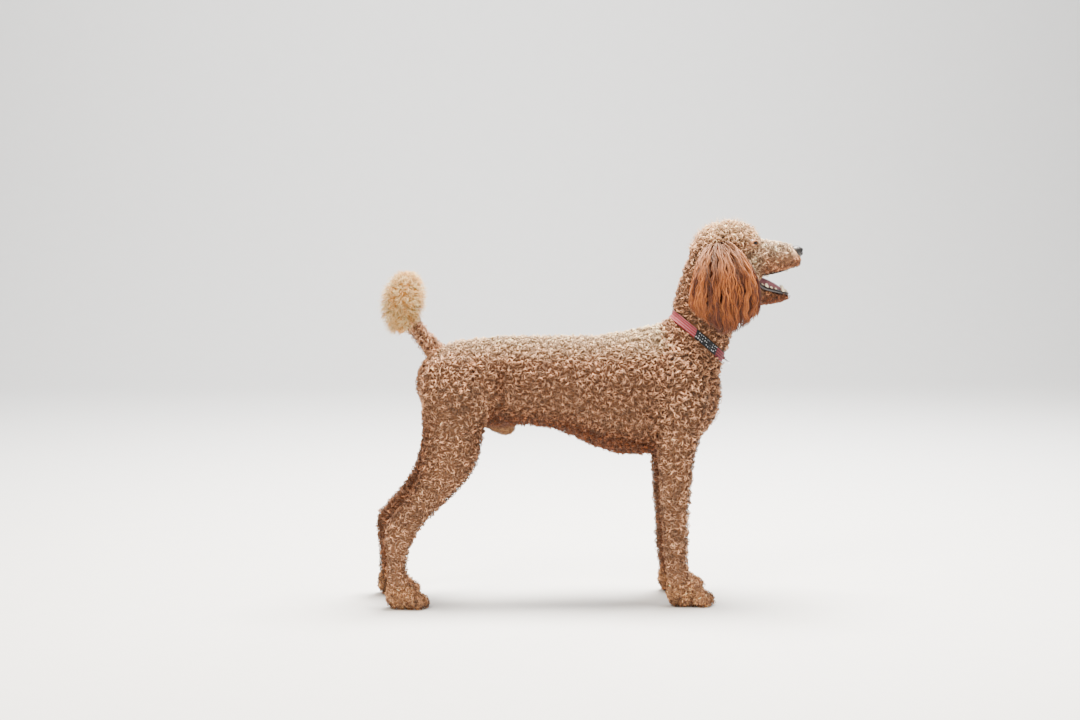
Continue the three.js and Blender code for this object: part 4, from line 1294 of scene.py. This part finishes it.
class POODLE_OT_ears(bpy.types.Operator):
    """Hangs long waved locks on both ears"""

    bl_idname = "poodle.ears"
    bl_label = "Ears"

    def execute(self, context):
        hair = feather_hair()
        for i, side in enumerate(SIDES):
            rng = np.random.default_rng(context.scene.poodle_coat.seed + 40 + i)
            self.locks(side, hair, context.scene.poodle_ears, rng)
        return {"FINISHED"}

    def locks(self, side, hair, ears, rng):
        """Locks that fall from all over the ear to its round scissored hem, drawn together in ropes."""
        form = EAR_FALL if side == "right" else mirrored(EAR_FALL)
        outer = (1.5 if side == "right" else 0.5) * math.pi
        count, steps, ropes = ears.locks, 11, 66
        # Most locks hang on the outer side, and the rest all round
        spread = math.pi * np.where(rng.random(count) < 0.82, 1.06, 2.0)
        turn = outer + spread * (rng.beta(1.2, 1.2, count) - 0.5)
        back, front = np.clip(-np.cos(turn), 0, 1), np.clip(np.cos(turn), 0, 1)
        # The hem is cut round, shorter behind and in front
        hem = 1 - 0.32 * back**1.6 - 0.17 * front**2
        end = np.minimum(0.88 * rng.random(count) ** 0.8 + rng.uniform(0.2, 0.45, count), hem)
        end = end + rng.normal(0, 0.014, count)
        start = np.maximum(end - rng.uniform(0.18, 0.42, count), 0)
        # Neighbouring locks form a rope, and lean to its middle as they fall
        rope = np.floor(turn / (2 * math.pi) * ropes + rng.normal(0, 0.3, count)).astype(int) % ropes
        gap = ((rope + 0.5) / ropes * 2 * math.pi - turn + math.pi) % (2 * math.pi) - math.pi
        t = np.linspace(0, 1, steps)[None, :]
        share = start[:, None] + (end - start)[:, None] * t
        swing = rng.uniform(0, 6, ropes)[rope][:, None] + share * 10
        bend = rng.normal(0, 0.085, ropes)[rope][:, None] * np.sin(swing)
        bend = bend + rng.normal(0, 0.05, count)[:, None] * t
        turned = turn[:, None] + gap[:, None] * rng.uniform(-0.2, 0.9, count)[:, None] * t + bend
        depth = rng.uniform(-7, 0.5, count)[:, None] + rng.normal(0, 1.8, ropes)[rope][:, None]
        depth = depth - 3.5 * (1 - np.minimum(t * 4, 1)) + rng.normal(-1.2, 1.6, count)[:, None] * t**2
        paths = surface(form, share, turned, grow=depth)
        across = unit(surface(form, share, turned + 0.05) - surface(form, share, turned - 0.05))
        phase = (rng.uniform(0, 2 * math.pi, ropes)[rope] + rng.normal(0, 0.7, count))[:, None]
        wave = np.sin(phase + share * 2 * math.pi * rng.uniform(5, 9, ropes)[rope][:, None])
        wave = wave * (rng.uniform(0.9, 3.2, count)[:, None] * (0.5 + 0.9 * t)) * MM
        paths = paths + across * wave[..., None]
        out = np.zeros((count, 3))
        out[:, 1] = np.sign(np.sin(turn))
        level = np.clip(rng.normal(0.36, 0.3, ropes)[rope] + rng.normal(0, 0.28, count), 0, 1)
        tints = blend(np.broadcast_to(ears.deep, (count, steps, 3)), ears.light, level[:, None])
        tints = blend(tints, ears.tips, 0.7 * rises(share, 0.6, 0.95))
        tints = blend(tints, bpy.context.scene.poodle_coat.body, 0.6 * rises(-share, -0.4, 0))
        # Painted shade on locks that lie deeper in the ear's hair, and near their roots
        lock_shade = (0.4 + 0.6 * np.clip((depth + 7) / 6, 0, 1)) * (0.6 + 0.4 * np.minimum(t * 3, 1))
        tints = tints * (lock_shade * (1 + rng.normal(0, 0.12, count))[:, None])[..., None]
        wide = ears.width * rng.uniform(0.55, 1.25, count)
        profile = np.array([0.5, 0.8, 1, 1, 1, 1, 0.95, 0.85, 0.7, 0.45, 0.15])
        places = np.stack([np.clip(start, 0, 1), (turn / (2 * math.pi)) % 1], -1)
        tuft_pieces(f"ear_locks_{side}", paths, wide, 0.55, out, profile, tints, places, hair, "ear_coat")


class POODLE_OT_pompon(bpy.types.Operator):
    """Fluffs the pompon at the end of the tail"""

    bl_idname = "poodle.pompon"
    bl_label = "Pompon"

    def execute(self, context):
        pompon = context.scene.poodle_pompon
        hair = poodle_hair("fluffed_hair")
        self.hairs("pompon_tufts", 60, pompon.tufts, (0.9, 1.8), (-2.0, 3.4), 3.6, hair)
        self.hairs("pompon_wisps", 61, pompon.wisps, (0.4, 0.8), (3.0, 3.5), 6.0, hair)
        return {"FINISHED"}

    def hairs(self, name, seed, count, wide_mm, stand_mm, coil_mm, material):
        """Waved hairs from the core out, each with its own width, length and coil."""
        pompon = bpy.context.scene.poodle_pompon
        rng = np.random.default_rng(bpy.context.scene.poodle_coat.seed + seed)
        share, turn = rng.uniform(0.02, 0.98, count), rng.uniform(0, 2 * math.pi, count)
        tips = surface(POMPON, share, turn)
        core = surface(POMPON, 0.1 + 0.8 * share, turn, grow=-24.0)
        out = unit(tips - core)
        middles, group, groups = clustered(tips, 15 * MM)
        tips = tips + (middles - tips) * rng.uniform(0.0, 0.5, count)[:, None]
        tips = tips + out * (rng.normal(*stand_mm, count) * MM)[:, None]
        tips[:, 2] -= rng.uniform(0, 6, count) * MM
        t = np.linspace(0, 1, 9)[None, :, None]
        side = unit(np.cross(out, rng.normal(0, 1, (count, 3))))
        other = np.cross(out, side)
        line = core[:, None] + (tips - core)[:, None] * (0.15 + 0.85 * t)
        start, rate = rng.uniform(0, 2 * math.pi, count), rng.uniform(4, 8, count)
        phase = start[:, None, None] + t * rate[:, None, None]
        coil = rng.uniform(0.35, 1.3, count)[:, None, None] * coil_mm * MM * (0.4 + 0.9 * t)
        paths = line + side[:, None] * np.sin(phase) * coil + other[:, None] * np.cos(phase) * coil
        level = np.clip(rng.normal(0.55, 0.28, groups)[group] + rng.normal(0, 0.22, count), 0, 1)
        # Painted shade: each hair darker towards the core of the pompon
        tints = blend(np.tile(pompon.deep, (count, 1)), pompon.pale, level)[:, None] * (0.62 + 0.38 * t)
        wide = rng.uniform(*wide_mm, count) * MM
        profile = np.array([0.8, 1, 1, 1, 1, 0.9, 0.75, 0.5, 0.15])
        places = np.stack([share, turn / (2 * math.pi)], -1)
        tuft_pieces(name, paths, wide, 0.7, out, profile, tints, places, material, "pompon_coat")


# Features


class POODLE_OT_eyes(bpy.types.Operator):
    """Sets both eyes and their lids"""

    bl_idname = "poodle.eyes"
    bl_label = "Eyes"

    def execute(self, context):
        iris = np.array(context.scene.poodle_face.iris)
        wet, lid = eye_glass(), eyelid_skin()
        for side, word in ((-1, "right"), (1, "left")):
            centre = np.array([EYE_AT[0], side * EYE_ASIDE, EYE_AT[1]])
            gaze = unit(np.array([GAZE[0], side * GAZE[1], GAZE[2]]))
            mesh = ball_mesh(f"eyeball_{word}", centre, (EYE_RADIUS,) * 3, 48, 64)
            points = coordinates(mesh)
            outwards = unit(points - centre * MM)
            towards = outwards @ gaze
            reshape(mesh, points + outwards * (rises(towards, 0.8, 1) * 0.7 * MM)[:, None])
            tint = np.tile(linear("#4A3328"), (len(points), 1))
            tint[towards > IRIS_WITHIN] = iris
            tint[towards > PUPIL_WITHIN] = linear("#050404")
            paint(mesh, tint)
            finish_piece(linked(mesh, f"eyeball_{word}"), wet, "eye", f"eye_{word}")
            self.lids(centre, gaze, lid, word)
        return {"FINISHED"}

    def lids(self, centre, gaze, material, word):
        """A rim of lid round the almond opening, from its wet edge out into the hair."""
        level = unit(np.cross([0, 0, 1.0], gaze))
        up = np.cross(gaze, level)
        turn = circle(56)
        long, tall = EYE_OPENING
        almond = np.stack([long * np.cos(turn), tall * np.sin(turn) * (1 - 0.25 * np.cos(turn) ** 4)])
        # Each ring of the lid: its size against the opening, how far over the eyeball, and how furred
        steps = (
            (0.98, -0.6, 0), (0.98, 0.4, 0), (1.08, 1.1, 0), (1.25, 1.3, 0.3), (1.5, 1.2, 0.85),
            (1.85, 1.0, 1), (2.15, 0.6, 1), (2.15, -2.4, 1), (1.5, -3.2, 1),
        )
        rings, tints = [], []
        for scale, over, hairy in steps:
            x, z = almond[0] * (1 + (scale - 1) * 0.7), almond[1] * (1 + (scale - 1) * 1.35)
            depth = np.sqrt(np.maximum((EYE_RADIUS + 0.35 + over) ** 2 - x**2 - z**2, 4))
            rings.append((centre + gaze * depth[:, None] + level * x[:, None] + up * z[:, None]) * MM)
            tints.append(np.tile(blend(linear("#21140E"), linear("#A87048"), hairy), (len(turn), 1)))
        mesh = mesh_from(f"eyelids_{word}", np.vstack(rings), ring_quads(len(rings), len(turn), True))
        paint(mesh, np.vstack(tints))
        finish_piece(linked(outward(mesh), f"eyelids_{word}"), material, "eye")


class POODLE_OT_nose(bpy.types.Operator):
    """Models the nose leather with its nostrils and the slit under them"""

    bl_idname = "poodle.nose"
    bl_label = "Nose"

    def execute(self, context):
        mesh = loft_mesh("nose_leather", NOSE, sides=96, step=0.5, power=2.4, grow=1.2)
        nose = remeshed(linked(mesh, "nose_leather"), 0.6 * MM, 6)
        points = coordinates(nose.data)
        for side in (-1, 1):
            points = soft_push(points, (484, side * 8, 791), 6.5, (-7, 0, 0))
            points = soft_push(points, (481, side * 12.5, 787), 6.5, (-4, -side * 3, 0))
            points = soft_push(points, (479, side * 10, 799), 6, (1, side * 1.2, 1))
        x, y, z = (points / MM).T
        slit = np.clip(1 - np.abs(y) / 1.6, 0, 1) * rises(-z, -787, -782) * rises(x, 470, 476)
        points[:, 0] -= slit * 2.2 * MM
        reshape(nose.data, points)
        finish_piece(nose, nose_leather(), "nose_leather", "nose")
        return {"FINISHED"}


# Lips and gums: each a path on the left side, a radius for each point of it, and how tall its section is
MOUTH_ROLLS = {
    "upper_lip": (
        ((376, 20, 738), (390, 18.5, 739), (412, 17, 742), (436, 15, 748), (458, 12, 757), (471, 5, 765)),
        (1.8, 1.8, 1.7, 1.6, 1.6, 1.4), 0.8,
    ),
    "lower_lip": (
        ((376, 25, 722), (390, 20.5, 710), (410, 17.5, 705), (430, 14.5, 700), (444, 9, 697), (450, 0, 696)),
        (2.8, 3.3, 3.2, 2.8, 2.4, 2.2), 1.3,
    ),
    "upper_gum": (
        ((386, 14, 741), (410, 13.5, 744), (436, 12, 750), (456, 7, 757), (460, 0, 759)),
        (2.6, 2.8, 2.8, 2.6, 2.4), 1.0,
    ),
    "lower_gum": (
        ((384, 17.5, 712), (404, 15.5, 707), (424, 12.5, 702), (438, 8.5, 699), (443, 0, 698)),
        (3.0, 3.0, 2.8, 2.4, 2.2), 1.0,
    ),
}
# Each tooth of one side: x, z, y, height, radius, and how thin it is from side to side
UPPER_TEETH = (
    (391, 743, 15, 9, 4.2, 0.6), (401, 744, 14.8, 10, 4.4, 0.55), (412, 746, 14.4, 7, 3.4, 0.55),
    (424, 748, 13.6, 6, 2.8, 0.6), (446, 755, 10.5, 10, 2.8, 0.8), (456, 757, 6.2, 5, 2, 0.8),
    (459, 758, 2.3, 4, 1.8, 0.8),
)
LOWER_TEETH = (
    (388, 712, 19.5, 9, 4.4, 0.6), (398, 709, 18.5, 12, 4.8, 0.55), (409, 706, 17, 8, 3.6, 0.55),
    (419, 704, 15, 7, 3.0, 0.6), (436, 701, 12, 16, 3.4, 0.8), (443, 699, 7, 9, 2.2, 0.8),
    (446, 698.5, 2.5, 8, 2.0, 0.8),
)


class POODLE_OT_mouth(bpy.types.Operator):
    """Fills the open mouth: lips, gums, teeth and tongue"""

    bl_idname = "poodle.mouth"
    bl_label = "Mouth"

    def execute(self, context):
        tongue = loft_mesh("tongue_flesh", TONGUE, sides=48, step=1.0)
        points = coordinates(tongue)
        x, y, _ = (points / MM).T
        points[:, 2] -= np.exp(-((y / 2.2) ** 2)) * (x > 362) * 1.6 * MM
        face = context.scene.poodle_face
        flesh = moist_skin("tongue_flesh", (*face.tongue, 1), rgba("#7E4C56"), 0.36)
        finish_piece(linked(reshape(tongue, points), "tongue_flesh"), flesh, "tongue", "tongue")
        lip = moist_skin("lip_skin", rgba("#171112"), rgba("#2E2223"), 0.34)
        gum = moist_skin("gum_flesh", rgba("#7A4A50"), rgba("#3C2428"), 0.3)
        for name, (path, radius, tall) in MOUTH_ROLLS.items():
            left = np.array(path, float)
            right = (left * (1, -1, 1))[::-1][int(left[-1, 1] == 0) :]
            radius = list(radius) + list(radius[::-1])[len(left) - len(right) :]
            mesh = swept(name, np.vstack([left, right]), radius, tall)
            finish_piece(linked(mesh, name), lip if name.endswith("lip") else gum, "tongue")
        enamel = tooth_enamel()
        finish_piece(self.teeth("upper_teeth", UPPER_TEETH, -1), enamel, "coat")
        finish_piece(self.teeth("lower_teeth", LOWER_TEETH, 1), enamel, "coat")
        return {"FINISHED"}

    def teeth(self, name, places, way):
        """Curved, pointed teeth on both sides of a jaw."""
        t, turn = np.linspace(0, 1, 9), circle(14)
        profile = np.sqrt(np.clip(1 - t**1.6, 0.004, 1))
        meshes = []
        for x, z, y, height, radius, thin in places:
            ring = np.stack([np.cos(turn), np.sin(turn) * thin, np.zeros(14)], -1) * radius
            for side in (-1, 1):
                back, aside = x - 0.22 * height * t**2, side * (y + 0.08 * height * t)
                path = np.stack([back, aside, z + way * height * t], -1)
                meshes.append(tube_mesh(name, (path[:, None] + ring[None] * profile[:, None, None]) * MM))
        return joined(name, meshes)


class POODLE_OT_claws(bpy.types.Operator):
    """Grows the claws of all four paws"""

    bl_idname = "poodle.claws"
    bl_label = "Claws"

    def execute(self, context):
        meshes = []
        for form, stance, back in PAWS:
            for aside in TOES_ASIDE:
                x = form[-1][0] - 2 - TOE_ARC * aside**2 - back
                y = stance + aside * 0.92
                path = [(x + 1, y, 12), (x + 7, y, 11), (x + 11, y, 8), (x + 13, y, 4.5)]
                meshes.append(swept("claw", path, [2.8, 2.6, 1.9, 0.5], 1.1, 12))
        finish_piece(joined("claws", meshes), claw_horn(), "coat")
        return {"FINISHED"}


class POODLE_OT_collar(bpy.types.Operator):
    """Fits the webbing collar with its ring"""

    bl_idname = "poodle.collar"
    bl_label = "Collar"

    def execute(self, context):
        settings = context.scene.poodle_collar
        turn, spans = circle(160), len(NECK) - 1
        here, above, below = (surface(NECK, (COLLAR_AT + by) / spans, turn) for by in (0, 0.5, -0.5))
        middle = here.mean(0)
        out = unit(here - middle)
        edge = self.edge(settings.width / MM / 2, settings.thickness / MM)
        profile = []
        for across, over in edge:
            way = unit(above - here) if across > 0 else unit(here - below)
            profile.append(here + way * across * MM + out * (over - COLLAR_SINK) * MM)
        rings = np.stack(profile, 1)
        rows, corners, _ = rings.shape
        strap = outward(mesh_from("collar_strap", rings.reshape(-1, 3), ring_quads(rows, corners, True)))
        self.map_strip(strap, here, np.array([a for a, _ in edge]) * MM)
        webbing = striped_webbing()
        finish_piece(linked(strap, "collar_strap"), webbing, "collar_webbing", "collar")
        self.ring(middle, here[np.argmax(here[:, 0])], webbing)
        return {"FINISHED"}

    def edge(self, half, thick):
        """The webbing's section: flat, with rolled edges."""
        r = thick / 2
        angles = np.linspace(0.5, math.pi - 0.5, 4)
        rolled = [(half - r + r * math.sin(a), r + r * math.cos(a)) for a in angles]
        top = [(x, thick) for x in np.linspace(-half + r, half - r, 12)]
        under = [(x, 0) for x in np.linspace(half - r, -half + r, 6)]
        return top + rolled + under + [(-x, thick - z) for x, z in rolled]

    def map_strip(self, mesh, here, across):
        """Unrolls the strap: metres along it from the nape, and metres across."""
        steps = np.linalg.norm(np.roll(here, -1, 0) - here, axis=1)
        run, whole = np.cumsum(steps) - steps, steps.sum()
        along = (run - run[np.argmin(here[:, 0])] + whole / 2) % whole - whole / 2
        vertex = loop_vertices(mesh)
        u = along[vertex // len(across)].reshape(-1, 4)
        u = u[:, :1] + (u - u[:, :1] + whole / 2) % whole - whole / 2
        map_uv(mesh, "webbing", np.stack([u.ravel(), across[vertex % len(across)]], -1))

    def ring(self, middle, throat, webbing):
        """A welded ring through a stitched loop at the throat."""
        down = unit(throat - middle)
        hung = throat + down * (RING_RADIUS - 1) * MM
        bpy.ops.mesh.primitive_torus_add(
            major_radius=RING_RADIUS * MM, minor_radius=1.5 * MM, major_segments=64, minor_segments=16
        )
        ring = bpy.context.object
        ring.name = "collar_ring_wire"
        tilt = Matrix.Rotation(math.atan2(-down[2], down[0]), 4, "Y")
        ring.data.transform(Matrix.Translation(Vector(hung)) @ tilt)
        smooth(ring.data)
        finish_piece(ring, ring_steel(), "ring_steel", "collar_ring")
        path = [throat / MM - down + (0, y, 0) for y in (-5, 0, 5)]
        loop = swept("collar_loop", path, [3.2, 4.2, 3.2], 1.0, 16)
        map_uv(loop, "webbing", np.zeros((len(loop.loops), 2)))
        finish_piece(linked(loop, "collar_loop"), webbing, "collar_webbing")


# Stage

# Each lamp: where it stands, what it is aimed at, its size in metres, its power in watts, its colour
LAMPS = {
    "key": ((-1.7, -2.8, 3.9), (0, 0, 0.45), 1.1, 190, "#FFF1DE"),
    "top": ((0.2, 0.4, 3.3), (0, 0, 0.45), 1.3, 780, "#FFF8EE"),
    "rim": ((1.8, 2.8, 2.6), (0, 0, 0.45), 1.6, 90, "#F4F8FF"),
    "backdrop": ((0, 2.6, 3.6), (0, 6.5, 0.8), 4.0, 420, "#FFFFFF"),
}


class POODLE_OT_stage(bpy.types.Operator):
    """Sets the floor, the soft lights and the camera"""

    bl_idname = "poodle.stage"
    bl_label = "Stage"

    def execute(self, context):
        stage = context.scene.poodle_stage
        self.floor()
        self.lights(context.scene)
        data = bpy.data.cameras.new("camera")
        data.lens = stage.lens
        data.sensor_width = 36
        camera = bpy.data.objects.new("camera", data)
        context.scene.collection.objects.link(camera)
        away = stage.distance
        camera.location = (stage.aim - away * math.sin(stage.yaw), -away * math.cos(stage.yaw), stage.height)
        camera.rotation_euler = (math.pi / 2 - stage.pitch, 0, -stage.yaw)
        context.scene.camera = camera
        return {"FINISHED"}

    def floor(self):
        """A sweep of paper: flat under the dog, then curving up far behind it."""
        curve = np.linspace(0.1, math.pi / 2, 12)
        depth = np.concatenate([np.linspace(-8, 5, 14), 5 + 2 * np.sin(curve), [7]])
        height = np.concatenate([np.zeros(14), 2 * (1 - np.cos(curve)), [6]])
        points = np.array([[x, y, z] for y, z in zip(depth, height) for x in (-9, 0, 9)])
        i, j = np.meshgrid(np.arange(len(depth) - 1), np.arange(2), indexing="ij")
        a = (i * 3 + j).ravel()
        faces = np.stack([a, a + 1, a + 4, a + 3], -1)
        sweep = linked(mesh_from("paper_sweep", points, faces), "paper_sweep")
        sweep.data.materials.append(studio_paper())

    def lights(self, scene):
        world = bpy.data.worlds.new("studio")
        world.use_nodes = True
        background = world.node_tree.nodes["Background"]
        background.inputs["Color"].default_value = rgba("#F2F5FA")
        background.inputs["Strength"].default_value = 0.4
        scene.world = world
        for name, (place, aim, size, power, tint) in LAMPS.items():
            light = bpy.data.lights.new(name, "AREA")
            light.size = size
            light.energy = power
            light.color = tuple(linear(tint))
            lamp = bpy.data.objects.new(name, light)
            lamp.location = place
            lamp.rotation_euler = (Vector(aim) - Vector(place)).to_track_quat("-Z", "Y").to_euler()
            scene.collection.objects.link(lamp)


# Add-on

PIECES = (
    POODLE_OT_skin, POODLE_OT_curls, POODLE_OT_head_coat, POODLE_OT_ears, POODLE_OT_pompon, POODLE_OT_eyes,
    POODLE_OT_nose, POODLE_OT_mouth, POODLE_OT_claws, POODLE_OT_collar, POODLE_OT_stage,
)
SETTINGS = {
    "poodle_coat": CoatSettings,
    "poodle_ears": EarSettings,
    "poodle_pompon": PomponSettings,
    "poodle_face": FaceSettings,
    "poodle_collar": CollarSettings,
    "poodle_stage": StageSettings,
}


class VIEW3D_PT_poodle(bpy.types.Panel):
    """Lists the pieces of the dog and their sizes and colours"""

    bl_label = "Poodle"
    bl_idname = "VIEW3D_PT_poodle"
    bl_space_type = "VIEW_3D"
    bl_region_type = "UI"
    bl_category = "Poodle"

    def draw(self, context):
        for operator in PIECES:
            self.layout.operator(operator.bl_idname)
        for name, group in SETTINGS.items():
            box = self.layout.box()
            for key in group.__annotations__:
                box.prop(getattr(context.scene, name), key)


def register():
    for name, group in SETTINGS.items():
        bpy.utils.register_class(group)
        setattr(bpy.types.Scene, name, bpy.props.PointerProperty(type=group))
    for operator in PIECES:
        bpy.utils.register_class(operator)
    bpy.utils.register_class(VIEW3D_PT_poodle)


def unregister():
    bpy.utils.unregister_class(VIEW3D_PT_poodle)
    for operator in reversed(PIECES):
        bpy.utils.unregister_class(operator)
    for name, group in SETTINGS.items():
        delattr(bpy.types.Scene, name)
        bpy.utils.unregister_class(group)


def main():
    register()
    for operator in PIECES:
        getattr(bpy.ops.poodle, operator.bl_idname.removeprefix("poodle."))()


if __name__ == "__main__":
    main()
